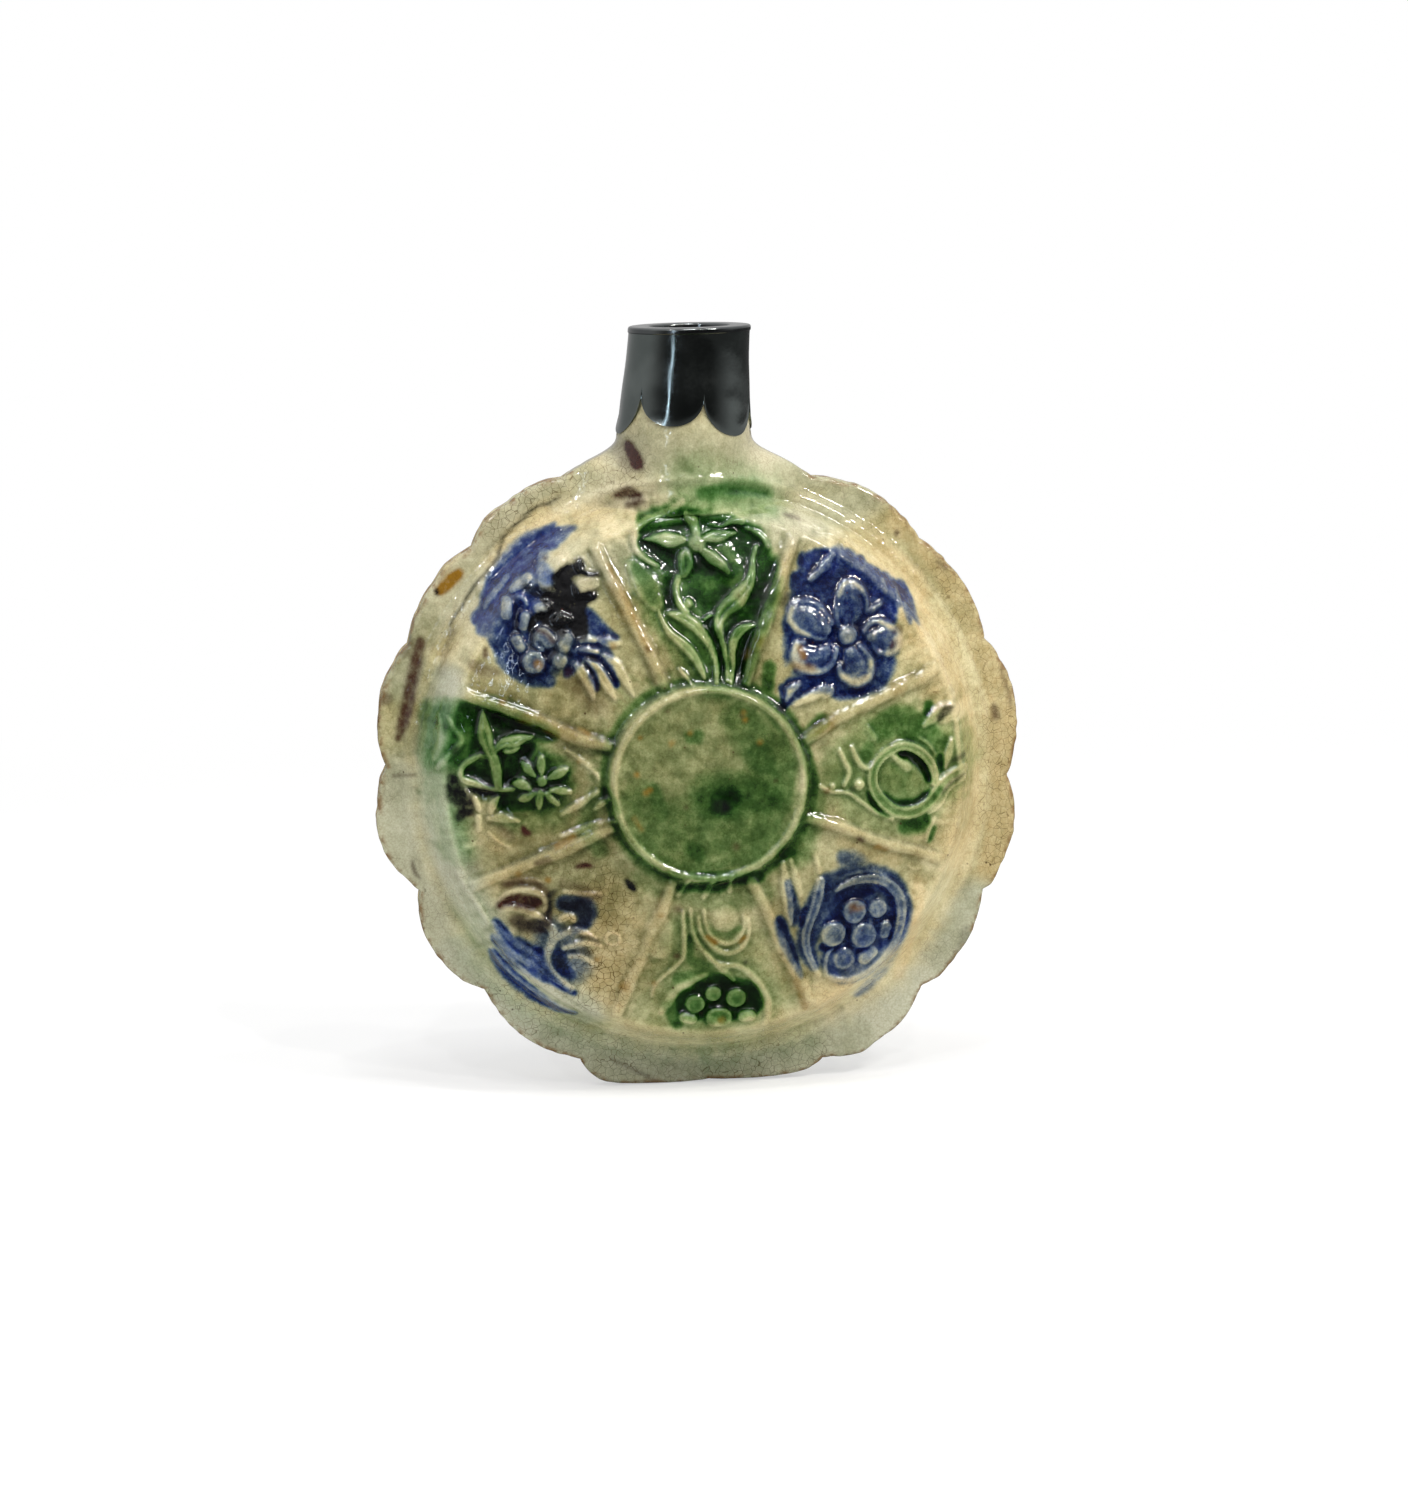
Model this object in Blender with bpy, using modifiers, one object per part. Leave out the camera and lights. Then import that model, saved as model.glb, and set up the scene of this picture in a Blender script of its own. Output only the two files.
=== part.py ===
"""Moulded pottery spirit flask: a round flat body of two press-moulded halves with a scalloped rim,
a luted pottery neck, and a thin sheet-metal mount with a lobed lower edge bedded on the neck.

The flask stands upright on its rim, +Z up, with its front towards -Y. The origin is on the ground
under the middle of the body. Lengths are in metres."""

import math

import bmesh
import bpy
from mathutils import Matrix, Vector

MM = 0.001

# Clearances
GAP = 0.3 * MM  # left between two pieces that touch
OVERRUN = 6.0 * MM  # how far a cutter runs past what it cuts
WELD_DISTANCE = 0.01 * MM  # points nearer than this are one
SLOPE_STEP = 0.5 * MM  # either side of a point, to find the ground's slope there

# Rim
LOBE_COUNT = 16
LOBE_RADIUS = 59.4 * MM  # middle of the body to the crest of a rim lobe
NOTCH_DEPTH = 2.5 * MM  # how far the notches between lobes reach in from the crests
NECK_WEB_RISE = 3.6 * MM  # how far past the crests the rim runs up the sides of the neck

# Half of the body: radii from the middle of the disc, heights from the seam plane outwards
SEAM_THICKNESS = 0.6 * MM
SEAM_WIDTH = 12.0 * MM
SEAM_INSET = 0.5 * MM  # how far the slip stops short of the rim
RIM_EDGE_HEIGHT = 2.4 * MM
RIM_INNER_RADIUS = 54.4 * MM
RIM_INNER_HEIGHT = 2.9 * MM
OUTER_BEAD_RADIUS = 53.0 * MM
OUTER_BEAD_HEIGHT = 4.4 * MM
FLUTE_RADIUS = 51.7 * MM
FLUTE_HEIGHT = 4.4 * MM
INNER_BEAD_RADIUS = 50.4 * MM
INNER_BEAD_HEIGHT = 6.6 * MM
SHOULDER_FOOT_RADIUS = 49.3 * MM
SHOULDER_FOOT_HEIGHT = 8.4 * MM
PANEL_RADIUS = 47.0 * MM  # outer edge of the moulded panels
PANEL_EDGE_HEIGHT = 13.2 * MM
PANEL_INNER_RADIUS = 19.0 * MM
PANEL_INNER_HEIGHT = 20.3 * MM
PANEL_CURVE = 1.6  # power of the fall from the inner to the outer edge of the panels
RING_OUTER_RADIUS = 18.0 * MM
RING_INNER_RADIUS = 16.0 * MM
RING_CREST_WIDTH = 1.0 * MM
RING_HEIGHT = 22.5 * MM  # half of the flask's thickness
ROUNDEL_RADIUS = 15.7 * MM
ROUNDEL_HEIGHT = 21.8 * MM

# Hollow of the body
WALL = 4.2 * MM
CAVITY_RADIUS = 45.0 * MM
CAVITY_EDGE_HEIGHT = 5.4 * MM

# Ribs between the panels
RIB_COUNT = 8
RIB_WIDTH = 2.0 * MM
RIB_HEIGHT = 1.1 * MM
RIB_INNER_RADIUS = 18.6 * MM
RIB_OUTER_RADIUS = 46.6 * MM
RELIEF_SINK = 0.9 * MM  # how deep ribs and moulded figures are rooted in the wall
FIGURE_HEIGHT = 1.2 * MM

# Metal mount
SHEET = 0.5 * MM
MOUNT_TOP_RADIUS = 11.2 * MM
MOUNT_FOOT_RADIUS = 12.5 * MM
MOUNT_HEIGHT = 19.5 * MM  # lobe tips to the top of the lip
MOUNT_RISE = 1.552 * MM  # crests of the rim lobes to the tips of the mount's lobes, going up
MOUNT_LOBES = 6
MOUNT_LOBE_DEPTH = 6.2 * MM
MOUNT_LOBE_TURN = math.radians(-19.0)  # a lobe's middle, from the front towards +X
MOUNT_FLARE = 1.4  # power of the widening from top to foot
LIP_THICKNESS = 1.1 * MM
LIP_OVERHANG = 0.15 * MM
LIP_SKIRT_DEPTH = 3.0 * MM
LIP_EDGE = 0.35 * MM  # rounding of the lip's upper edges

# Neck
BORE_RADIUS = 6.9 * MM
NECK_FOOT_BELOW_PANEL = 3.6 * MM  # how far the neck's foot goes in past the panel edge
NECK_SPREAD = 2.4 * MM  # how much the neck widens from the mount's foot to its own foot
NECK_CURVE = 2.2  # power of that widening
NECK_POINTS = 6
BEDDING_THICKNESS = 0.8 * MM
BEDDING_HEIGHT = 8.6 * MM
BEDDING_TOP_DROP = 1.6 * MM  # from the mount's upper end down to the bedding
NECK_STEP = 0.5 * MM  # height of the chamfer under the bedding

# How finely round shapes are faceted
TURN_STEPS = 80  # body
NECK_STEPS = 48  # neck and mount, a multiple of the mount's lobes
FIGURE_SEGMENTS = 8
FIGURE_RINGS = 4
PANEL_POINTS = 7
MOUNT_RINGS = 6

PART_NAME = "pottery_spirit_flask"

# Moulded figures as (angle clockwise from the top in degrees, radius, half length, half width,
# turn of the length from the radius in degrees); the three sizes are shares of PANEL_RADIUS.
FIGURE_SHARES = (
    # top panel: six-petalled flower, bud, stem and leaves
    (346, 0.945, 0.100, 0.055, 80),
    (354, 0.985, 0.080, 0.055, 10),
    (8, 0.950, 0.110, 0.055, 110),
    (6, 0.810, 0.105, 0.050, 140),
    (357, 0.900, 0.060, 0.060, 0),
    (355, 0.835, 0.085, 0.060, 0),
    (352, 0.700, 0.120, 0.030, 0),
    (12, 0.880, 0.150, 0.040, 0),
    (9, 0.720, 0.170, 0.045, 10),
    (14, 0.600, 0.130, 0.040, 10),
    (346, 0.600, 0.160, 0.045, -20),
    # upper right panel: five-petalled flower
    (45, 0.785, 0.055, 0.055, 0),
    (39, 0.895, 0.097, 0.060, -10),
    (33, 0.745, 0.086, 0.066, 60),
    (41, 0.650, 0.086, 0.066, 30),
    (54, 0.715, 0.088, 0.066, -40),
    (52, 0.880, 0.084, 0.070, 50),
    (44, 0.495, 0.090, 0.035, 15),
    (53, 0.525, 0.090, 0.035, 15),
    # right panel: curl, a ring of seven swellings, bud and leaves
    (92, 0.585, 0.050, 0.040, 0),
    (88, 0.855, 0.070, 0.026, 59),
    (84, 0.770, 0.074, 0.026, 12),
    (86, 0.672, 0.071, 0.026, -47),
    (95, 0.659, 0.076, 0.026, 64),
    (100, 0.754, 0.082, 0.026, 9),
    (98, 0.862, 0.076, 0.026, -47),
    (93, 0.895, 0.050, 0.026, 72),
    (75, 0.960, 0.110, 0.055, 40),
    (84, 0.930, 0.130, 0.035, 0),
    (86, 0.650, 0.080, 0.035, 20),
    # lower right panel: cluster of berries and a long leaf
    (131, 0.770, 0.048, 0.048, 0),
    (126, 0.845, 0.044, 0.044, 0),
    (141, 0.780, 0.050, 0.050, 0),
    (135, 0.870, 0.052, 0.052, 0),
    (130, 0.925, 0.040, 0.040, 0),
    (138, 0.950, 0.040, 0.040, 0),
    (143, 0.895, 0.054, 0.054, 0),
    (147, 0.700, 0.220, 0.035, 30),
    # bottom panel: berries in an oval
    (183, 0.885, 0.044, 0.044, 0),
    (178, 0.840, 0.044, 0.044, 0),
    (172, 0.855, 0.044, 0.044, 0),
    (169, 0.935, 0.044, 0.044, 0),
    (177, 0.945, 0.050, 0.050, 0),
    (173, 0.545, 0.090, 0.075, 0),
    # lower left panel: scroll and spreading leaves
    (236, 0.870, 0.120, 0.070, 80),
    (226, 0.730, 0.130, 0.060, 20),
    (217, 0.900, 0.130, 0.045, 10),
    (222, 0.815, 0.080, 0.040, -50),
    (210, 0.725, 0.045, 0.045, 0),
    # left panel: lily and daisy
    (284, 0.905, 0.120, 0.048, 75),
    (279, 0.790, 0.120, 0.050, 50),
    (275, 0.880, 0.120, 0.045, -30),
    (270, 0.640, 0.050, 0.050, 0),
    (277, 0.640, 0.060, 0.040, 90),
    (263, 0.640, 0.060, 0.040, 90),
    (270, 0.735, 0.060, 0.040, 0),
    (270, 0.550, 0.060, 0.040, 0),
    (263, 0.880, 0.090, 0.035, 30),
    # upper left panel: bunch of grapes and leaves
    (311, 0.925, 0.056, 0.050, 0),
    (316, 0.910, 0.060, 0.050, 0),
    (310, 0.980, 0.070, 0.040, 30),
    (318, 0.825, 0.050, 0.046, 0),
    (306, 0.890, 0.056, 0.050, 0),
    (311, 0.835, 0.056, 0.050, 0),
    (314, 0.755, 0.056, 0.050, 0),
    (304, 0.810, 0.056, 0.050, 0),
    (320, 0.700, 0.110, 0.035, 20),
    (326, 0.650, 0.110, 0.035, 20),
)


def clear_scene():
    """Removes what is in the scene."""
    for thing in list(bpy.data.objects):
        bpy.data.objects.remove(thing, do_unlink=True)


def new_collection(name):
    group = bpy.data.collections.new(name)
    bpy.context.scene.collection.children.link(group)
    return group


def new_material(name, colour, roughness, metallic=0.0):
    material = bpy.data.materials.new(name)
    material.use_nodes = True
    shader = material.node_tree.nodes["Principled BSDF"]
    shader.inputs["Base Color"].default_value = (*colour, 1.0)
    shader.inputs["Roughness"].default_value = roughness
    shader.inputs["Metallic"].default_value = metallic
    return material


def dress(thing, material):
    """Gives an object its one material and smooth shading with crisp edges."""
    thing.data.materials.clear()
    thing.data.materials.append(material)
    thing.data.shade_smooth()
    thing.data.set_sharp_from_angle(angle=math.radians(35.0))


def mesh_object(name, mesh, group):
    thing = bpy.data.objects.new(name, mesh)
    group.objects.link(thing)
    return thing


def as_mesh(thing):
    """Replaces an object's modifiers or curve by the mesh that they make, in place."""
    view = bpy.context.evaluated_depsgraph_get()
    view.update()
    mesh = bpy.data.meshes.new_from_object(thing.evaluated_get(view))
    name, group, place = thing.name, thing.users_collection[0], thing.matrix_world.copy()
    bpy.data.objects.remove(thing, do_unlink=True)
    made = mesh_object(name, mesh, group)
    made.matrix_world = place
    return made


def weld(mesh):
    shape = bmesh.new()
    shape.from_mesh(mesh)
    bmesh.ops.remove_doubles(shape, verts=shape.verts, dist=WELD_DISTANCE)
    bmesh.ops.recalc_face_normals(shape, faces=shape.faces)
    shape.to_mesh(mesh)
    shape.free()


def turned(name, profile, group, closed=False, steps=NECK_STEPS):
    """A solid turned about Z from (radius, height) points that run down its outer side."""
    shape = bmesh.new()
    points = [shape.verts.new((radius, 0.0, height)) for radius, height in profile]
    for first, second in zip(points, points[1:]):
        shape.edges.new((first, second))
    if closed:
        shape.edges.new((points[-1], points[0]))
    mesh = bpy.data.meshes.new(name)
    shape.to_mesh(mesh)
    shape.free()
    thing = mesh_object(name, mesh, group)
    screw = thing.modifiers.new("turn", "SCREW")
    screw.steps = steps
    screw.render_steps = steps
    screw.use_merge_vertices = True
    screw.merge_threshold = WELD_DISTANCE
    made = as_mesh(thing)
    weld(made.data)
    return made


def slab(name, outlines, half_thickness, group):
    """A flat plate of closed outlines, the later ones holes, in the XY plane."""
    curve = bpy.data.curves.new(name, "CURVE")
    curve.dimensions = "2D"
    curve.fill_mode = "BOTH"
    curve.extrude = half_thickness
    for outline in outlines:
        spline = curve.splines.new("POLY")
        spline.points.add(len(outline) - 1)
        for point, (x, y) in zip(spline.points, outline):
            point.co = (x, y, 0.0, 1.0)
        spline.use_cyclic_u = True
    thing = bpy.data.objects.new(name, curve)
    group.objects.link(thing)
    made = as_mesh(thing)
    weld(made.data)
    return made


def boolean(thing, cutter, operation, crossing=False):
    """Cuts or joins by another mesh, whose own bodies may cross each other."""
    step = thing.modifiers.new(operation.lower(), "BOOLEAN")
    step.operation = operation
    step.solver = "EXACT"
    step.use_self = crossing
    step.object = cutter
    cutter.hide_render = True
    cutter.display_type = "WIRE"


def lobe_wave(angle):
    """0 in a notch of the rim and 1 on the crest of a lobe; the notches are sharp."""
    return abs(math.sin(angle * LOBE_COUNT / 2.0))


def neck_web_radius():
    """Middle of the body to where the rim ends at the sides of the neck."""
    return LOBE_RADIUS + NECK_WEB_RISE


def web_radius(angle):
    """Radius of the straight web that runs from the first notch up to the side of the neck."""
    notch = 2.0 * math.pi / LOBE_COUNT
    notch_radius = LOBE_RADIUS - NOTCH_DEPTH
    start = Vector((notch_radius * math.sin(notch), notch_radius * math.cos(notch)))
    neck_side = mount_outer_radius(0.0)
    end = Vector((neck_side, math.sqrt(neck_web_radius() ** 2 - neck_side**2)))
    run = end - start
    ray = Vector((math.sin(angle), math.cos(angle)))
    return (start.x * run.y - start.y * run.x) / (ray.x * run.y - ray.y * run.x)


def rim_radius(angle):
    """Rim radius at an angle from the top of the disc, in radians."""
    turn = abs((angle + math.pi) % (2.0 * math.pi) - math.pi)
    scalloped = LOBE_RADIUS - NOTCH_DEPTH * (1.0 - lobe_wave(turn))
    if turn < 2.0 * math.pi / LOBE_COUNT:
        return max(scalloped, min(web_radius(turn), neck_web_radius()))
    return scalloped


def rim_outline(inset=0.0):
    """Points of the scalloped rim, x to the right and y up, moved in by the inset."""
    points = []
    for index in range(TURN_STEPS):
        angle = 2.0 * math.pi * index / TURN_STEPS
        radius = rim_radius(angle) - inset
        points.append((radius * math.sin(angle), radius * math.cos(angle)))
    return points


def circle_outline(radius):
    turns = [2.0 * math.pi * index / TURN_STEPS for index in range(TURN_STEPS)]
    return [(radius * math.sin(turn), radius * math.cos(turn)) for turn in turns]


def panel_height(radius):
    """Height of the panels' ground above the seam plane."""
    share = (radius - PANEL_INNER_RADIUS) / (PANEL_RADIUS - PANEL_INNER_RADIUS)
    fall = PANEL_INNER_HEIGHT - PANEL_EDGE_HEIGHT
    return PANEL_INNER_HEIGHT - fall * max(0.0, share) ** PANEL_CURVE


def panel_stops(first, last, count):
    """Radii evenly spread from the first to the last."""
    return [first + (last - first) * index / (count - 1) for index in range(count)]


def half_profile():
    """Section of one half: down the outside from the middle, round the rim, back up the inside."""
    crest_side = (RING_OUTER_RADIUS - RING_INNER_RADIUS - RING_CREST_WIDTH) / 2.0
    outside = [
        (0.0, ROUNDEL_HEIGHT),
        (ROUNDEL_RADIUS, ROUNDEL_HEIGHT),
        (RING_INNER_RADIUS + crest_side, RING_HEIGHT),
        (RING_OUTER_RADIUS - crest_side, RING_HEIGHT),
    ]
    for radius in panel_stops(PANEL_INNER_RADIUS, PANEL_RADIUS, PANEL_POINTS):
        outside.append((radius, panel_height(radius)))
    outside += [
        (SHOULDER_FOOT_RADIUS, SHOULDER_FOOT_HEIGHT),
        (INNER_BEAD_RADIUS, INNER_BEAD_HEIGHT),
        (FLUTE_RADIUS, FLUTE_HEIGHT),
        (OUTER_BEAD_RADIUS, OUTER_BEAD_HEIGHT),
        (RIM_INNER_RADIUS, RIM_INNER_HEIGHT),
        (neck_web_radius() + OVERRUN, RIM_EDGE_HEIGHT),
    ]
    seam_face = SEAM_THICKNESS / 2.0 + GAP
    inside = [
        (neck_web_radius() + OVERRUN, seam_face),
        (CAVITY_RADIUS, seam_face),
        (CAVITY_RADIUS, CAVITY_EDGE_HEIGHT),
    ]
    inner_stop = CAVITY_RADIUS - WALL / 2.0
    for radius in reversed(panel_stops(PANEL_INNER_RADIUS, inner_stop, PANEL_POINTS - 2)):
        inside.append((radius, panel_height(radius) - WALL))
    inside.append((0.0, ROUNDEL_HEIGHT - WALL))
    return outside + inside


def facing(forward):
    """Stands a piece made about Z up, its +Z towards the front or towards the back."""
    side = 0.0 if forward else math.pi
    return Matrix.Rotation(side, 4, "Z") @ Matrix.Rotation(math.pi / 2.0, 4, "X")


def rib(group):
    """One rib along +Y: a plate in the section plane that follows the panels' ground."""
    stops = panel_stops(RIB_INNER_RADIUS, RIB_OUTER_RADIUS, PANEL_POINTS)
    top = [(radius, panel_height(radius) + RIB_HEIGHT) for radius in stops]
    top[-1] = (RIB_OUTER_RADIUS, panel_height(RIB_OUTER_RADIUS))
    base = [(radius, panel_height(radius) - RELIEF_SINK) for radius in reversed(stops)]
    plate = slab("rib", [top + base], RIB_WIDTH / 2.0, group)
    upright = Matrix.Rotation(math.pi / 2.0, 4, "Z") @ Matrix.Rotation(math.pi / 2.0, 4, "X")
    plate.data.transform(upright)
    return plate


def figure(place, group):
    """One moulded figure: an egg-shaped swelling rooted in the panels' ground."""
    angle, radius_share, length_share, width_share, turn = place
    radius = radius_share * PANEL_RADIUS
    rise = panel_height(radius + SLOPE_STEP) - panel_height(radius - SLOPE_STEP)
    slope = rise / (2.0 * SLOPE_STEP)
    shape = bmesh.new()
    bmesh.ops.create_uvsphere(
        shape, u_segments=FIGURE_SEGMENTS, v_segments=FIGURE_RINGS, radius=1.0
    )
    half_size = (width_share * PANEL_RADIUS, length_share * PANEL_RADIUS, FIGURE_HEIGHT)
    bmesh.ops.scale(shape, verts=shape.verts, vec=half_size)
    placed = (
        Matrix.Rotation(-math.radians(angle), 4, "Z")
        @ Matrix.Translation((0.0, radius, panel_height(radius)))
        @ Matrix.Rotation(math.atan(slope), 4, "X")
        @ Matrix.Rotation(-math.radians(turn), 4, "Z")
    )
    bmesh.ops.transform(shape, matrix=placed, verts=shape.verts)
    mesh = bpy.data.meshes.new("figure")
    shape.to_mesh(mesh)
    shape.free()
    return mesh_object("figure", mesh, group)


def joined(name, things, group):
    """One object of several meshes, which a union then merges."""
    shape = bmesh.new()
    for thing in things:
        mesh = thing.data.copy()
        mesh.transform(thing.matrix_world)
        shape.from_mesh(mesh)
        bpy.data.meshes.remove(mesh)
        bpy.data.objects.remove(thing, do_unlink=True)
    mesh = bpy.data.meshes.new(name)
    shape.to_mesh(mesh)
    shape.free()
    return mesh_object(name, mesh, group)


def relief(name, group):
    """The ribs and the moulded figures, about the Z axis."""
    things = []
    for index in range(RIB_COUNT):
        plate = rib(group)
        plate.data.transform(Matrix.Rotation(2.0 * math.pi * (index + 0.5) / RIB_COUNT, 4, "Z"))
        things.append(plate)
    things += [figure(place, group) for place in FIGURE_SHARES]
    return joined(name, things, group)


def ground_height():
    """Height of the middle of the disc above the ground that its lowest lobes stand on."""
    return -min(y for _, y in rim_outline())


def overall_height():
    """Height of the top of the lip above the ground."""
    return ground_height() + LOBE_RADIUS + MOUNT_RISE + MOUNT_HEIGHT


def mount_height_share(height):
    """0 at the tips of the mount's lobes and 1 at its upper end."""
    return (height - (overall_height() - MOUNT_HEIGHT)) / (MOUNT_HEIGHT - LIP_THICKNESS - GAP)


def mount_outer_radius(share):
    """Radius of the mount's outside at a share of its height, which widens downwards."""
    spread = MOUNT_FOOT_RADIUS - MOUNT_TOP_RADIUS
    return MOUNT_TOP_RADIUS + spread * (1.0 - min(1.0, max(0.0, share))) ** MOUNT_FLARE


def mount_edge_share(turn):
    """Lower edge of the mount as a share of the lobes' depth: 0 at a tip, 1 in a notch."""
    within = ((turn - MOUNT_LOBE_TURN) * MOUNT_LOBES / (2.0 * math.pi) + 0.5) % 1.0
    across = 2.0 * within - 1.0
    return 1.0 - math.sqrt(max(0.0, 1.0 - across * across))


def body_half(name, forward, neck_space, rim_plate, group, helpers, material):
    """A press-moulded half with scalloped rim, ribs and a socket for the neck."""
    half = turned(name, half_profile(), group, steps=TURN_STEPS)
    half.data.transform(Matrix.Rotation(math.pi / TURN_STEPS, 4, "Z"))  # no edge on a rim corner
    boolean(half, rim_plate, "INTERSECT")
    half = as_mesh(half)
    boolean(half, relief(name + "_relief", helpers), "UNION", crossing=True)
    half = as_mesh(half)
    half.data.transform(facing(forward))
    half.location = (0.0, 0.0, ground_height())
    boolean(half, neck_space, "DIFFERENCE")
    half = as_mesh(half)
    dress(half, material)
    return half


def neck_foot():
    """Height of the neck's foot above the ground."""
    return ground_height() + PANEL_RADIUS - NECK_FOOT_BELOW_PANEL


def neck_sections():
    """Heights and outer radii of the neck from its top down, with the bedding's place stepped in."""
    top = overall_height() - LIP_THICKNESS - GAP
    bedding_top = top - BEDDING_TOP_DROP
    bedding_foot = bedding_top - BEDDING_HEIGHT
    mount_foot = overall_height() - MOUNT_HEIGHT
    return top, bedding_top, bedding_foot, mount_foot


def inside_mount(height):
    """Radius that fits inside the mount's sheet at a height, with the gap."""
    return mount_outer_radius(mount_height_share(height)) - SHEET - GAP


def neck_skirt_radius(height):
    """Radius of the bare neck below the mount, which widens towards its foot."""
    shoulder = overall_height() - MOUNT_HEIGHT - SHEET - GAP
    share = (shoulder - height) / (shoulder - neck_foot())
    return MOUNT_FOOT_RADIUS + NECK_SPREAD * max(0.0, share) ** NECK_CURVE


def neck_outer_points():
    top, _, bedding_foot, mount_foot = neck_sections()
    recess = BEDDING_THICKNESS + GAP
    step_top = bedding_foot - GAP
    step_foot = step_top - NECK_STEP
    points = [(inside_mount(top) - recess, top)]
    points.append((inside_mount(step_top) - recess, step_top))
    points.append((inside_mount(step_foot), step_foot))
    for height in panel_stops(step_foot, mount_foot, 4)[1:]:
        points.append((inside_mount(height), height))
    shoulder = mount_foot - SHEET - GAP
    for height in panel_stops(shoulder, neck_foot(), NECK_POINTS):
        points.append((neck_skirt_radius(height), height))
    return points


def make_neck(group, material):
    """Pottery neck with its bore, a wider mouth for the lip's skirt, and a step for the bedding."""
    top = neck_sections()[0]
    mouth_radius = BORE_RADIUS + SHEET + 2.0 * GAP
    mouth_floor = overall_height() - LIP_THICKNESS - LIP_SKIRT_DEPTH - GAP
    inside = [
        (BORE_RADIUS, neck_foot()),
        (BORE_RADIUS, mouth_floor),
        (mouth_radius, mouth_floor),
        (mouth_radius, top),
    ]
    neck = turned("neck_tube", neck_outer_points() + inside, group, closed=True)
    dress(neck, material)
    return neck


def make_neck_space(helpers):
    """Cutter for the socket in the halves: the neck's outside with the gap, and its bore."""
    foot = neck_foot() - GAP
    top = overall_height()
    profile = [(0.0, top), (neck_skirt_radius(top) + GAP, top)]
    shoulder = top - MOUNT_HEIGHT - SHEET - GAP
    for height in panel_stops(shoulder, neck_foot(), NECK_POINTS):
        profile.append((neck_skirt_radius(height) + GAP, height))
    profile += [
        (neck_skirt_radius(neck_foot()) + GAP, foot),
        (BORE_RADIUS, foot),
        (BORE_RADIUS, foot - OVERRUN),
        (0.0, foot - OVERRUN),
    ]
    return turned("neck_space", profile, helpers)


def make_bedding(group, material):
    """Ring of plaster that beds the mount on the neck."""
    _, top, foot, _ = neck_sections()
    outside = [(inside_mount(height), height) for height in (top, (top + foot) / 2.0, foot)]
    inside = [(radius - BEDDING_THICKNESS, height) for radius, height in reversed(outside)]
    bedding = turned("mount_bedding", outside + inside, group, closed=True)
    dress(bedding, material)
    return bedding


def make_mount(group, material):
    """Sheet-metal sleeve: a grid rolled into a tube, its foot cut in lobes, made solid inwards."""
    shape = bmesh.new()
    bmesh.ops.create_grid(shape, x_segments=NECK_STEPS, y_segments=MOUNT_RINGS, size=1.0)
    foot = overall_height() - MOUNT_HEIGHT
    top = overall_height() - LIP_THICKNESS - GAP
    for vert in shape.verts:
        turn = math.pi * vert.co.x
        edge = foot + MOUNT_LOBE_DEPTH * mount_edge_share(turn)
        height = edge + (top - edge) * (vert.co.y + 1.0) / 2.0
        radius = mount_outer_radius(mount_height_share(height))
        vert.co = (radius * math.sin(turn), -radius * math.cos(turn), height)
    bmesh.ops.remove_doubles(shape, verts=shape.verts, dist=WELD_DISTANCE)
    bmesh.ops.recalc_face_normals(shape, faces=shape.faces)
    mesh = bpy.data.meshes.new("mount_sleeve")
    shape.to_mesh(mesh)
    shape.free()
    sleeve = mesh_object("mount_sleeve", mesh, group)
    solid = sleeve.modifiers.new("sheet", "SOLIDIFY")
    solid.thickness = SHEET
    solid.offset = -1.0
    solid.use_even_offset = True
    sleeve = as_mesh(sleeve)
    weld(sleeve.data)
    dress(sleeve, material)
    return sleeve


def make_lip(group, material):
    """Turned lip that closes the sleeve's upper end and goes down into the mouth."""
    outer = MOUNT_TOP_RADIUS + LIP_OVERHANG
    skirt_inner = BORE_RADIUS + GAP
    skirt_outer = skirt_inner + SHEET
    top = overall_height()
    under = top - LIP_THICKNESS
    profile = [
        (outer - LIP_EDGE, top),
        (outer, top - LIP_EDGE),
        (outer, under),
        (skirt_outer, under),
        (skirt_outer, under - LIP_SKIRT_DEPTH),
        (skirt_inner, under - LIP_SKIRT_DEPTH),
        (skirt_inner, top - LIP_EDGE),
        (skirt_inner + LIP_EDGE, top),
    ]
    lip = turned("mount_lip", profile, group, closed=True)
    dress(lip, material)
    return lip


def make_seam(neck_space, group, material):
    """Thin ring of slip that lutes the two halves together round the rim."""
    hollow = circle_outline(LOBE_RADIUS - SEAM_WIDTH)
    seam = slab("luting_seam", [rim_outline(SEAM_INSET), hollow], SEAM_THICKNESS / 2.0, group)
    seam.data.transform(Matrix.Rotation(math.pi / 2.0, 4, "X"))
    seam.location = (0.0, 0.0, ground_height())
    boolean(seam, neck_space, "DIFFERENCE")
    seam = as_mesh(seam)
    dress(seam, material)
    return seam


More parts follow.
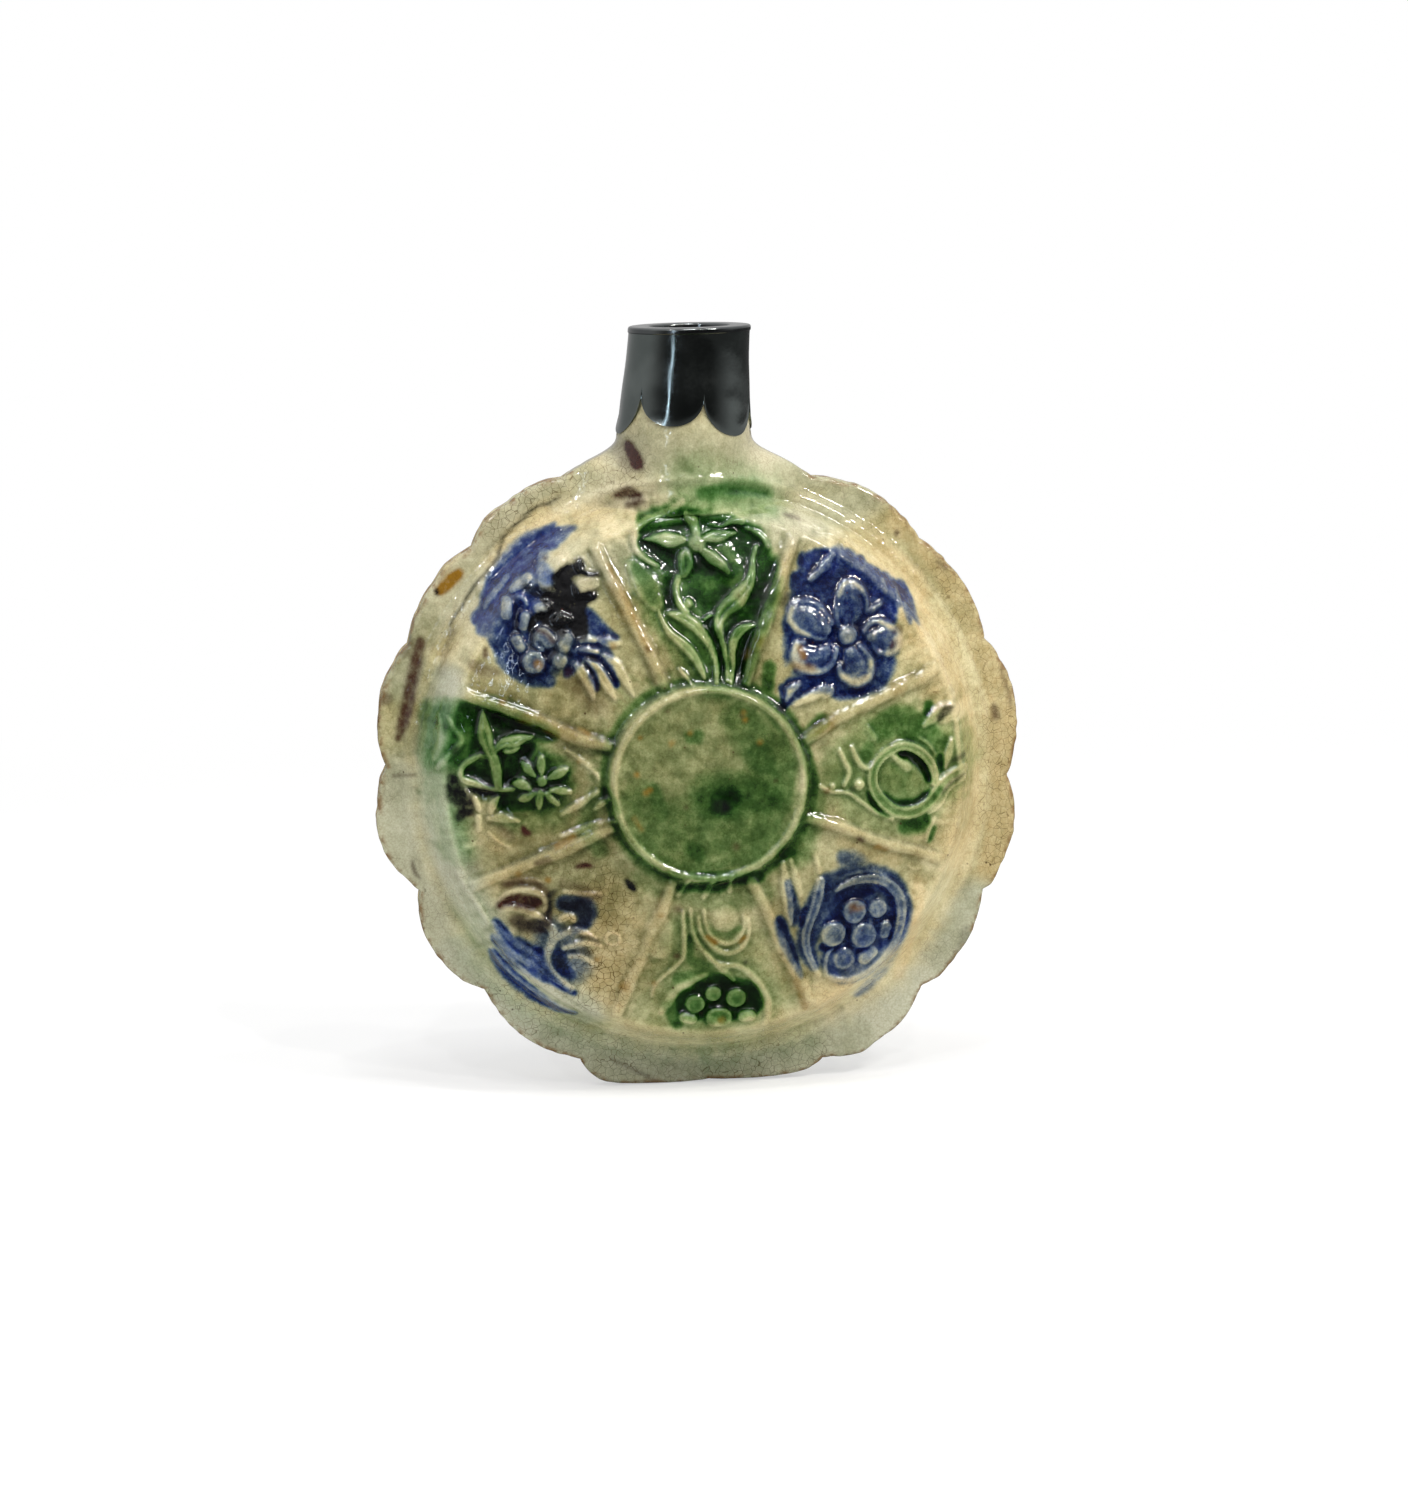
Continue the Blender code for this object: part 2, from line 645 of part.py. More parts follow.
def main():
    clear_scene()
    parts = new_collection(PART_NAME)
    helpers = new_collection("cutters")
    glaze_front = new_material("glaze_front", (0.62, 0.58, 0.40), 0.15)
    glaze_back = new_material("glaze_back", (0.60, 0.56, 0.40), 0.18)
    glaze_neck = new_material("glaze_neck", (0.66, 0.60, 0.42), 0.18)
    slip = new_material("slip", (0.55, 0.42, 0.28), 0.8)
    plaster = new_material("plaster", (0.78, 0.75, 0.68), 0.9)
    dark_metal = new_material("dark_metal", (0.05, 0.055, 0.06), 0.3, 0.9)
    dark_lip = new_material("dark_lip", (0.10, 0.10, 0.11), 0.3, 0.9)

    neck_space = make_neck_space(helpers)
    rim_plate = slab("rim_plate", [rim_outline()], RING_HEIGHT + OVERRUN, helpers)
    shared = (neck_space, rim_plate, parts, helpers)
    body_half("front_half", True, *shared, glaze_front)
    body_half("back_half", False, *shared, glaze_back)
    make_seam(neck_space, parts, slip)
    make_neck(parts, glaze_neck)
    make_bedding(parts, plaster)
    make_mount(parts, dark_metal)
    make_lip(parts, dark_lip)


main()
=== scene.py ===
"""Looks of a round moulded pottery spirit flask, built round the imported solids.

Lengths are in millimetres until a mesh is made, and places are given from the middle of the body's
disc. A point on one half of the body is (x, z), x to the right and z up as seen from that half's own
side, with its height above the seam plane."""

import math

import bpy
import numpy as np
from mathutils import Matrix, Vector


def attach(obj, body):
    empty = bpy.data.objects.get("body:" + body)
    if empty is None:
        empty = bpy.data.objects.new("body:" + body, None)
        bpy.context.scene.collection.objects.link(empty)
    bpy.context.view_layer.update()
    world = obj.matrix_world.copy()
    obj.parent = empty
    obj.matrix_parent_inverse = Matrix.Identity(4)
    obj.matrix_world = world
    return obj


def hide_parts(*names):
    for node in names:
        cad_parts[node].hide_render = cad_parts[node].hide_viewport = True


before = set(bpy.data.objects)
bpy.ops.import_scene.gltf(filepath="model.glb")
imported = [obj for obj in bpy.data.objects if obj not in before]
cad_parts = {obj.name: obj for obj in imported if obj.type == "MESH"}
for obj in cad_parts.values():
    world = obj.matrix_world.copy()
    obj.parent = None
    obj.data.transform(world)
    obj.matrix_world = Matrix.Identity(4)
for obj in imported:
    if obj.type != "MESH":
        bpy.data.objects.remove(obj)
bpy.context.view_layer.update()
MM = 0.001
FULL_TURN = 2 * math.pi

# Camera
PHOTO_SIZE = (1408.0, 1500.0)
LENS = 105.0
SENSOR = 36.0
CAMERA_AZIMUTH = math.radians(-6.0)
CAMERA_ELEVATION = math.radians(8.5)
CAMERA_ROLL = math.radians(-1.2)
CAMERA_DISTANCE = 800.0  # from the middle of the disc
CAMERA_CLIP = (0.05, 20.0)
DISC_PIXEL = (696.6, 766.5)  # where the middle of the disc lies in the picture
DISC_HEIGHT = 58.548  # middle of the disc above the ground
MIDDLE = np.array((0.0, 0.0, DISC_HEIGHT))
PIXEL_SLOPE = SENSOR / LENS / PHOTO_SIZE[1]  # width of a picture pixel at a distance of 1
PIXEL_MM = CAMERA_DISTANCE * PIXEL_SLOPE  # and at the disc


def camera_axes():
    """Right, up and forward directions of the camera."""
    sine, cosine = math.sin(CAMERA_AZIMUTH), math.cos(CAMERA_AZIMUTH)
    flat = math.cos(CAMERA_ELEVATION)
    forward = np.array((-sine * flat, cosine * flat, -math.sin(CAMERA_ELEVATION)))
    right = np.array((cosine, sine, 0.0))
    up = np.cross(right, forward)
    turn, tilt = math.cos(CAMERA_ROLL), math.sin(CAMERA_ROLL)
    return right * turn + up * tilt, up * turn - right * tilt, forward


CAMERA_RIGHT, CAMERA_UP, CAMERA_FORWARD = camera_axes()


def line_of_sight(px, py):
    """Directions in which the camera sees picture pixels."""
    across = np.multiply.outer((px - PHOTO_SIZE[0] / 2) * PIXEL_SLOPE, CAMERA_RIGHT)
    rise = np.multiply.outer((PHOTO_SIZE[1] / 2 - py) * PIXEL_SLOPE, CAMERA_UP)
    return CAMERA_FORWARD + across + rise


EYE = -CAMERA_DISTANCE * line_of_sight(*DISC_PIXEL)  # the camera's place


def make_camera():
    """The camera at the photograph's viewing angle."""
    camera = bpy.data.objects.new("camera", bpy.data.cameras.new("camera"))
    camera.data.lens = LENS
    camera.data.sensor_width = SENSOR
    camera.data.sensor_fit = "AUTO"
    camera.data.clip_start, camera.data.clip_end = CAMERA_CLIP
    rows = np.stack((CAMERA_RIGHT, CAMERA_UP, -CAMERA_FORWARD, (EYE + MIDDLE) * MM), 1)
    camera.matrix_world = Matrix((*rows.tolist(), (0.0, 0.0, 0.0, 1.0)))
    bpy.context.scene.collection.objects.link(camera)
    bpy.context.scene.camera = camera


make_camera()

# Noise and curves
LATTICE = 256


def noise(u, v, seed):
    """Smooth unevenness from -1 to 1 at points given in cells."""
    table = np.random.default_rng(seed).uniform(-1.0, 1.0, (LATTICE, LATTICE))
    iu, iv = np.floor(u).astype(int), np.floor(v).astype(int)
    fu, fv = u - iu, v - iv
    fu, fv = fu * fu * (3 - 2 * fu), fv * fv * (3 - 2 * fv)
    a, b, c, d = (table[(iu + i) % LATTICE, (iv + j) % LATTICE] for j in (0, 1) for i in (0, 1))
    return (a * (1 - fu) + b * fu) * (1 - fv) + (c * (1 - fu) + d * fu) * fv


def layered(u, v, seed, layers=3):
    """Several noises, each half as large and twice as fine as the last."""
    scales = 2.0 ** np.arange(layers)
    return sum(noise(u * scale, v * scale, seed + i) / scale for i, scale in enumerate(scales)) / 1.5


def ease(low, high, value):
    """0 at low, 1 at high, smooth between them and level past them."""
    share = np.clip((value - low) / (high - low), 0.0, 1.0)
    return share * share * (3 - 2 * share)


def within(value, reach, soft_in, soft_out):
    """1 inside a reach and 0 outside, eased over a width either side of its two ends."""
    low, high = reach
    return ease(low - soft_in, low + soft_in, value) * ease(high + soft_out, high - soft_out, value)


def bell(value, middle, width):
    """1 in the middle, falling off over the width."""
    return np.exp(-(((value - middle) / width) ** 2))


def at_knots(knots, value):
    """The value on straight lines between (place, value) pairs."""
    return np.interp(value, *np.array(knots).T)


def gaussian(width):
    """Weights of a bell of that width in samples, which add up to 1."""
    reach = max(1, int(math.ceil(3 * width)))
    weights = np.exp(-0.5 * (np.arange(-reach, reach + 1) / width) ** 2)
    return weights / weights.sum()


# Shape of a half of the body
GROUND_KNOTS = (  # (radius, height above the seam plane) of the plain turned surface
    (0.0, 21.75), (16.35, 21.75), (16.75, 22.55), (17.15, 22.55), (17.7, 21.3), (18.3, 20.5),
    (18.9, 20.1), (23.0, 19.8), (28.0, 19.0), (33.0, 17.75), (38.0, 16.15), (42.0, 14.75),
    (45.0, 13.75), (47.2, 12.9), (48.4, 10.6), (49.4, 8.3), (50.4, 6.9), (51.1, 5.15), (51.6, 4.5),
    (52.1, 5.0), (52.5, 4.25), (52.9, 4.6), (53.4, 4.1), (54.4, 3.0), (57.0, 2.6), (70.0, 2.5),
)  # fmt: skip
GROUND_SOFTNESS = 0.35
TABLE_STEP = 0.05
FLANGE_RADIUS = 54.4
RIM_ROUNDING = 1.1
SEAM_FACE = 0.3
BORE_RADIUS = 6.9
SIGHT_ROUNDS = 8
FIRST_HEIGHT = 15.0  # from which the search for the height under a line of sight starts


def ground_table():
    """Radii and the softened heights there."""
    radii = np.arange(0.0, GROUND_KNOTS[-1][0], TABLE_STEP)
    heights = at_knots(GROUND_KNOTS, radii)
    weights = gaussian(GROUND_SOFTNESS / TABLE_STEP)
    reach = len(weights) // 2
    padded = np.concatenate((heights[reach:0:-1], heights, np.full(reach, heights[-1])))
    return radii, np.convolve(padded, weights, mode="valid")


GROUND = ground_table()


def ground(radius):
    """Height of the plain turned surface."""
    return np.interp(radius, *GROUND)


def met(sight, height):
    """Where lines of sight pass a height before the seam plane, as (x, z)."""
    reach = (-height - EYE[1]) / sight[..., 1]
    return EYE[0] + reach * sight[..., 0], EYE[2] + reach * sight[..., 2]


def on_flask(sight):
    """The points (x, z) of the plain front that lines of sight meet."""
    height = FIRST_HEIGHT
    for _ in range(SIGHT_ROUNDS):
        x, z = met(sight, height)
        height = ground(np.hypot(x, z))
    return x, z


# Rim crests and notches as (angle clockwise from the top in degrees, distance in picture pixels)
RIM_CENTRE_PIXEL = (698.0, 773.0)
RIM_NOTCHES = (
    (21.0, 318.5), (43.0, 322.0), (64.5, 315.5), (90.0, 305.0), (112.0, 305.5), (133.5, 305.5),
    (156.3, 308.7), (178.3, 310.1), (202.7, 306.3), (225.0, 301.5), (247.5, 301.5),
    (271.5, 310.5), (294.0, 320.0), (315.0, 321.5), (335.0, 326.5), (358.0, 326.0),
)  # fmt: skip
RIM_CRESTS = (
    331.0, 326.0, 325.0, 318.0, 314.0, 321.0, 317.5, 330.0, 314.0, 318.0, 325.5, 327.5, 327.0,
    334.0, 330.0, 326.0,
)  # fmt: skip
RIM_STEP = 0.1  # degrees between the points of the rim
CREST_POWER = 0.75  # below 1 makes the lobes fuller and the notches sharper
RIM_WEAR = ((5.0, 2.4), (1.3, 0.9))  # (degrees of a wave, its size in picture pixels)
RIM_SEED = 7
RIM_CLEARANCE = 0.02  # kept between the lowest lobes and the ground
RIM_SQUEEZE = 3.5  # the lowest part of the rim, over this height, is pressed up to stay above it


def rim_table():
    """Angles clockwise from the top and the rim's radius there."""
    notch_angles, notch_radii = np.array(RIM_NOTCHES).T
    turns = np.arange(0.0, 360.0, RIM_STEP)
    index = np.searchsorted(notch_angles, turns, side="right") - 1
    after = (index + 1) % len(notch_angles)
    start = notch_angles[index]
    share = ((turns - start) % 360.0) / ((notch_angles[after] - start) % 360.0)
    base = notch_radii[index] * (1 - share) + notch_radii[after] * share
    middle = (notch_radii[index] + notch_radii[after]) / 2
    bump = np.abs(np.sin(math.pi * share)) ** CREST_POWER
    pixels = base + (np.array(RIM_CRESTS)[index] - middle) * bump
    for wave, size in RIM_WEAR:
        pixels = pixels + size * noise(turns / wave, np.full(len(turns), 0.5), RIM_SEED)
    turn = np.radians(turns)
    px, py = RIM_CENTRE_PIXEL
    x, z = met(line_of_sight(px + pixels * np.sin(turn), py - pixels * np.cos(turn)), 0.0)
    over = np.maximum(-z - (DISC_HEIGHT - RIM_CLEARANCE - RIM_SQUEEZE), 0.0)
    z = z + over - RIM_SQUEEZE * np.tanh(over / RIM_SQUEEZE)
    return np.arctan2(x, z), np.hypot(x, z)


RIM = rim_table()


def rim_radius(angle):
    """Rim radius at angles clockwise from the top, seen from the front."""
    return np.interp(angle, *RIM, period=FULL_TURN)


# Flat maps of relief and stains over a half
CELL = 0.15
EXTENT = 66.0
AXIS = np.arange(-EXTENT, EXTENT + CELL / 2, CELL)
MAP_X, MAP_Z = np.meshgrid(AXIS, AXIS)
MAP_R = np.hypot(MAP_X, MAP_Z)
MAP_ANGLE = np.arctan2(MAP_X, MAP_Z)


def clouds(size, seed, layers=3):
    """A map of layered noise whose largest cells are so many mm wide."""
    return layered(MAP_X / size, MAP_Z / size, seed, layers)


def blur(values, width):
    """The map smoothed by a bell of that width in mm."""
    weights = gaussian(width / CELL)
    for axis in (0, 1):
        values = np.apply_along_axis(np.convolve, axis, values, weights, mode="same")
    return values


def sample(values, x, z):
    """A map's value at points, by straight lines between its cells."""
    u, v = (np.clip((place + EXTENT) / CELL, 0, len(AXIS) - 1.001) for place in (x, z))
    iu, iv = u.astype(int), v.astype(int)
    fu, fv = u - iu, v - iv
    low = values[iv, iu] * (1 - fu) + values[iv, iu + 1] * fu
    high = values[iv + 1, iu] * (1 - fu) + values[iv + 1, iu + 1] * fu
    return low * (1 - fv) + high * fv


def smoothed(points, steps=5):
    """A line of points made into a smooth curve through them."""
    if len(points) < 3:
        return points
    closed = np.allclose(points[0], points[-1])
    before, after = (points[-2], points[1]) if closed else (points[0], points[-1])
    p = np.vstack((before, points, after))
    a, b, c, d = (p[i : len(p) - 3 + i, None] for i in range(4))
    t = np.arange(steps)[None, :, None] / steps
    curve = 2 * b + (c - a) * t + (2 * a - 5 * b + 4 * c - d) * t**2 + (3 * b - a - 3 * c + d) * t**3
    return np.vstack((0.5 * curve.reshape(-1, points.shape[1]), points[-1:]))


FAR_SHARE = 9.0  # share of the half width that stands for far away
LEAST_HALF_WIDTH = 0.02


def share_of_width(points, reach):
    """The part of the map round a line of (x, z, half width), and there the distance from it as a
    share of its half width."""
    margin = points[:, 2].max() * reach + CELL
    low = np.floor((points[:, :2].min(0) - margin + EXTENT) / CELL).astype(int)
    high = np.ceil((points[:, :2].max(0) + margin + EXTENT) / CELL).astype(int)
    low, high = np.clip(low, 0, len(AXIS) - 1), np.clip(high, 1, len(AXIS))
    window = (slice(low[1], high[1]), slice(low[0], high[0]))
    x, z = MAP_X[window], MAP_Z[window]
    if len(points) == 1:
        return window, np.hypot(x - points[0, 0], z - points[0, 1]) / points[0, 2]
    best = np.full(x.shape, FAR_SHARE)
    for first, second in zip(points, points[1:]):
        run = second[:2] - first[:2]
        length = max(float(run @ run), 1e-9)
        t = np.clip(((x - first[0]) * run[0] + (z - first[1]) * run[1]) / length, 0.0, 1.0)
        distance = np.hypot(x - first[0] - t * run[0], z - first[1] - t * run[1])
        width = first[2] + t * (second[2] - first[2])
        best = np.minimum(best, distance / np.maximum(width, LEAST_HALF_WIDTH))
    return window, best


# Reading the traced lines
RING_STEP = 20  # degrees between the points of a traced ring


def points_of(stroke):
    """Points (across, down, width) of a stroke, given one by one or as a ring round a point."""
    words = stroke.replace(",", " ").split()
    if words[0] != "ring":
        return np.array(words, float).reshape(-1, 3)
    px, py, radius, width = map(float, words[1:])
    turn = np.radians(np.arange(0, 361, RING_STEP))
    return np.stack((px + radius * np.sin(turn), py - radius * np.cos(turn), np.full(len(turn), width)), 1)


def traced(view, points):
    """Points (x, z, half width) of a line traced in a view of the picture."""
    left, top, scale = view
    across, down, width = points.T
    x, z = on_flask(line_of_sight(left + across / scale, top + down / scale))
    return smoothed(np.stack((x, z, width / scale * PIXEL_MM / 2), 1))


def lines_of(table, reach):
    """For each traced line, the words that come before its colon, and what share_of_width says."""
    for view, text in table:
        for row in text.strip().splitlines():
            head, strokes = row.split(":")
            for stroke in strokes.split(";"):
                yield head.split(), *share_of_width(traced(view, points_of(stroke)), reach)


# Views of the picture: left and top in its pixels, and how far each is enlarged
TOP = (600, 480, 7.127)
UPPER_LEFT = (465, 515, 7.649)
UPPER_RIGHT = (775, 540, 8.711)
RIGHT = (820, 690, 8.253)
LOWER_RIGHT = (780, 850, 9.224)
BOTTOM = (620, 870, 8.253)
LOWER_LEFT = (430, 850, 7.467)
LEFT = (430, 690, 8.253)
WHOLE = (0, 0, 1)

# Relief traced view by view. A row says the section of its lines and their height in mm, and
# after the colon the lines, each as across, down and width of its points in the view's pixels.
RELIEF = (
    (TOP, """
leaf 0.95: 315 425 10, 400 420 60, 490 430 115, 590 425 50; 922 668 10, 870 605 70, 800 560 95, 730 500 60
round 0.95: 610 240 30, 655 290 90, 680 350 80, 690 420 60
leaf 0.9: 968 375 10, 890 390 75, 820 400 90, 750 415 50; 612 540 105, 612 600 125, 598 670 60; \
1118 470 18, 1092 560 34, 1085 650 56, 1060 745 92, 985 840 135, 893 925 118, 850 1000 78, 848 1070 58, \
872 1160 42, 893 1260 38, 903 1350 34, 905 1430 28
round 1.05: 690 450 135
round 0.75: 565 690 45, 543 750 48, 545 820 52, 572 890 60, 610 940 60
round 0.8: 632 880 65
leaf 0.75: 500 955 30, 590 980 90, 690 1050 95, 765 1140 70, 815 1240 55, 835 1340 45, 830 1440 34; \
415 925 14, 455 1020 32, 505 1095 55, 590 1170 75, 655 1240 75, 705 1320 60, 745 1410 30
round 0.5: 565 1345 22, 610 1400 36, 655 1455 26; 1040 340 24, 1110 370 32, 1165 420 34, 1200 480 26
leaf 0.8: 1100 1035 22, 1010 1068 80, 960 1135 80, 945 1230 52, 950 1330 40, 932 1440 36
round 0.55: 800 965 24, 762 985 28, 732 1015 18; 780 310 14, 860 330 24, 935 300 45, 1000 290 66; \
590 150 40, 520 200 40, 430 240 42, 340 280 44, 262 350 46, 240 440 44, 275 525 42, 345 580 36, 415 610 20
round 0.4: 610 225 28, 720 245 24, 820 235 24, 900 222 20
flat 0.35: 250 620 120, 330 760 190, 400 880 120
sunk 0.55: 360 340 170, 500 300 190, 700 300 170, 880 340 170, 1040 430 170; 1050 470 240, \
1150 650 230, 1150 850 220, 1100 1040 200, 1030 1240 140, 1000 1380 90
sunk 0.6: 350 440 150, 500 570 170, 680 620 280, 780 790 330, 830 900 260; 750 1000 80, 800 1130 90, \
860 1290 70, 880 1400 50
sunk 0.45: 520 720 110, 490 900 90
"""),
    (UPPER_LEFT, """
round 0.75: 355 570 46, 420 515 88, 478 468 60; 615 315 120, 605 420 130, 610 540 110
round 0.9: 318 660 80, 320 760 92; 460 780 88, 445 850 84; 398 960 92, 428 1015 84
round 0.55: 415 625 26, 455 645 34, 478 690 26; 720 350 110, 690 430 60; 880 965 30, 940 955 54, \
1000 962 30; 880 1030 34, 940 1030 60, 1010 1050 34
round 0.95: 570 715 100, 620 705 100
cup 0.95: 525 1125 165
leaf 0.85: 690 810 40, 745 800 100, 805 800 40
round 0.85: 770 950 120, 745 1000 130
cup 0.85: 595 915 110, 640 960 110
round 0.6: 545 900 50, 540 990 50, 590 1030 50; 868 350 70, 890 420 60, 960 450 46, 1015 452 40; \
968 612 90
round 0.7: 725 1110 130
cup 0.8: 985 515 90, 905 545 110, 875 600 60
leaf 0.65: 1040 965 40, 1100 975 90, 1175 985 40; 850 1150 40, 900 1210 96, 955 1300 90, 985 1410 26; \
935 1115 34, 1010 1180 84, 1075 1280 96, 1150 1410 24
leaf 0.55: 1070 1080 40, 1150 1150 100, 1230 1270 70, 1290 1380 24
round 0.45: 150 700 40, 250 560 50, 330 470 40
"""),
    (UPPER_RIGHT, """
round 1: 630 825 185
round 0.48: 560 760 50, 545 690 62, 545 570 68, 575 430 72, 650 368 80, 740 420 74, 795 520 56, 800 610 44
round 0.5: 500 735 46, 435 640 62, 350 560 70, 250 540 78, 160 585 80, 135 670 72, 175 745 72, \
270 805 62, 380 855 60, 445 850 36; 680 1160 100
round 0.66: 640 700 130, 655 580 240, 650 450 200
round 0.72: 440 780 120, 330 700 240, 220 655 210; 660 980 120, 700 1080 230, 700 1160 200
round 0.68: 450 970 110, 350 1040 200, 250 1010 180
round 0.7: 850 840 120, 960 850 220, 1000 880 180
round 0.6: 535 950 50, 505 1060 72, 425 1130 82, 320 1140 92, 215 1100 92, 172 1010 84, 190 920 64, \
255 890 40
round 0.55: 330 995 34, 410 965 48, 470 930 36
round 0.56: 735 925 50, 800 1000 62, 838 1090 72, 820 1190 84, 730 1245 92, 620 1215 92, 563 1140 72, \
565 1090 46
round 0.52: 780 800 40, 830 725 62, 920 712 62, 1010 765 74, 1068 845 84, 1065 920 90, 1000 975 92, \
905 975 62, 855 920 40
round 0.45: 960 870 100; 800 625 44, 860 592 60, 925 555 34; 320 340 60, 430 225 84, 500 130 60
leaf 0.7: 95 1400 34, 140 1310 92, 205 1265 50; 170 1440 34, 280 1385 84, 390 1325 92, 440 1280 40
leaf 0.5: 430 1360 50, 480 1320 84, 500 1290 40
round 0.3: 1050 420 26, 1095 560 40; 940 340 24, 965 450 32
sunk 0.35: 640 560 130, 660 680 130; 890 880 90; 560 1330 90, 740 1330 60
sunk 0.4: 640 1040 110; 540 800 60, 500 900 60
"""),
    (RIGHT, """
twin 0.85: 945 770 60, 948 690 70, 905 590 76, 820 505 76, 700 462 74, 580 500 76, 480 590 80, \
435 700 84, 450 820 92, 530 935 100, 650 1008 104, 790 1000 104, 905 920 104, 980 820 104, \
1060 730 100, 1180 650 90
round 0.4: 690 745 400; 1120 260 50, 1130 420 60, 1150 600 50
round 0.75: 600 540 50, 650 585 80, 720 640 96
round 0.35: 820 395 22, 900 450 30, 955 540 26; 880 1250 30, 905 1150 40, 950 1050 34
round 0.55: 262 470 36, 300 560 52, 345 625 52, 415 655 40; 105 795 50; 0 790 30, 90 840 30, \
230 850 36, 345 925 42, 460 1005 46, 600 1065 40
round 0.5: 160 500 36, 205 590 56, 240 680 56, 200 790 40
round 0.85: 325 780 100
leaf 0.65: 860 295 34, 930 230 100, 1010 160 110, 1120 125 50
leaf 0.55: 1000 265 40, 1075 215 90, 1135 150 50
leaf 0.6: 1035 640 34, 1065 520 84, 1085 410 40
twin 0.6: 900 1010 40, 990 930 66, 1040 830 60, 1110 760 60, 1185 715 46
round 0.3: 400 320 60, 450 400 60
sunk 0.5: 670 530 40, 760 555 70, 850 640 80, 900 740 60
sunk 0.35: 400 860 60, 480 990 50; 800 1120 120
"""),
    (LOWER_RIGHT, """
cup 0.95: 690 570 225
cup 0.85: 905 545 175
cup 1: 495 780 235
cup 0.9: 775 790 250
cup 0.8: 965 770 105, 985 710 105; 780 1000 120, 850 940 110
cup 0.6: 590 1005 205
round 0.55: 575 1020 60
twin 0.75: 520 375 30, 640 305 52, 780 268 78, 900 270 86, 1010 320 96, 1090 410 100, 1118 530 100, \
1112 660 90, 1080 780 80, 1035 880 66, 960 985 50, 860 1080 44, 750 1155 44, 630 1200 46, 510 1190 46, \
430 1150 40, 418 1050 36, 445 950 34, 490 915 22; 375 290 80, 350 420 98, 312 560 92, 262 690 84, \
236 810 80, 252 930 72, 295 1040 60, 360 1150 40
leaf 0.6: 30 120 50, 55 330 110, 85 560 100, 100 690 30
leaf 0.5: 100 90 40, 150 260 80, 190 420 60
round 0.4: 330 60 60, 370 210 40
round 0.3: 610 235 26, 760 200 34, 900 205 34, 1010 255 26; 1160 410 26, 1160 560 30, 1110 760 26; \
1185 130 26, 1215 170 30, 1290 175 20
sunk 0.45: 620 520 300, 850 520 400, 900 800 300, 620 850 300, 600 980 200
"""),
    (BOTTOM, """
round 0.45: 585 330 36, 590 450 46, 622 565 50, 690 670 52, 765 745 50; 868 400 230; 880 830 40, \
935 905 44
round 0.48: 648 390 34, 662 490 44, 712 580 50, 800 655 56, 890 688 56, 980 660 52, 1040 590 46, \
1066 500 38, 1062 400 30
round 0.42: 695 330 34, 706 430 40, 742 530 46, 830 600 50, 910 605 50, 980 560 46, 1026 480 40, \
1026 380 34
round 0.52: 520 345 40, 526 480 48, 532 620 52, 520 725 40, 450 805 40, 370 870 38, 290 950 34, \
262 1040 26
flat 0.35: 330 480 240, 330 640 220
round 0.5: 700 690 40, 790 770 46, 880 790 54, 970 792 60, 1065 850 66, 1155 945 70, 1215 1070 74, \
1222 1190 70, 1195 1270 50; 800 790 40, 860 840 50, 940 910 44
round 0.34: 340 1180 60, 405 1080 90, 470 1000 96, 570 930 84, 700 870 60
cup 1.1: 622 1110 160; 960 1058 168; 790 1215 160, 845 1215 160
cup 1.05: 770 1025 132
round 1.05: 1020 1205 110, 1075 1200 110
round 1: 540 1215 110, 590 1225 110
leaf 0.5: 1075 60 40, 1145 190 90, 1225 330 50; 925 60 40, 905 170 50
leaf 0.45: 790 80 30, 730 150 70, 690 230 40; 565 90 30, 480 210 50
sunk 0.65: 590 1100 300, 830 1060 420, 1050 1090 300
"""),
    (LOWER_LEFT, """
round 0.7: 510 430 30, 560 345 52, 680 300 60, 800 318 56, 862 385 48, 858 455 40
round 0.4: 560 235 26, 700 215 34, 840 240 26; 450 720 24, 560 870 36, 740 1020 40, 950 1150 34, \
1080 1210 24; 1000 310 34, 1150 330 44, 1275 325 26
round 0.6: 520 445 40, 620 432 66, 725 455 66, 825 505 62, 885 545 36; 950 655 60, 1060 602 66, \
1150 618 56, 1235 660 36
round 0.55: 980 520 60, 1050 495 60, 1075 530 40; 1000 735 50, 1120 700 60, 1235 700 44, 1280 720 24
round 0.65: 870 560 60, 925 625 90, 895 720 84, 868 800 74, 905 900 64, 985 975 50, 1060 1035 44
round 0.5: 1040 795 36, 1130 800 50, 1215 845 34
leaf 0.6: 480 550 40, 545 650 110, 645 745 140, 765 815 135, 860 900 84, 960 985 50, 1055 1058 24
round 0.45: 478 640 26, 560 752 38, 680 880 40, 820 1000 40, 980 1110 38, 1130 1195 26; 1365 618 24, \
1410 640 24, 1412 690 24, 1365 712 24, 1320 690 24, 1320 640 24, 1365 618 24
round 0.35: 195 160 30, 270 290 40, 360 420 40, 430 540 26
round 0.25: 150 200 26, 220 360 34, 320 540 26
sunk 0.35: 600 380 110, 760 390 110; 1010 430 90, 1150 440 110, 1150 520 90
"""),
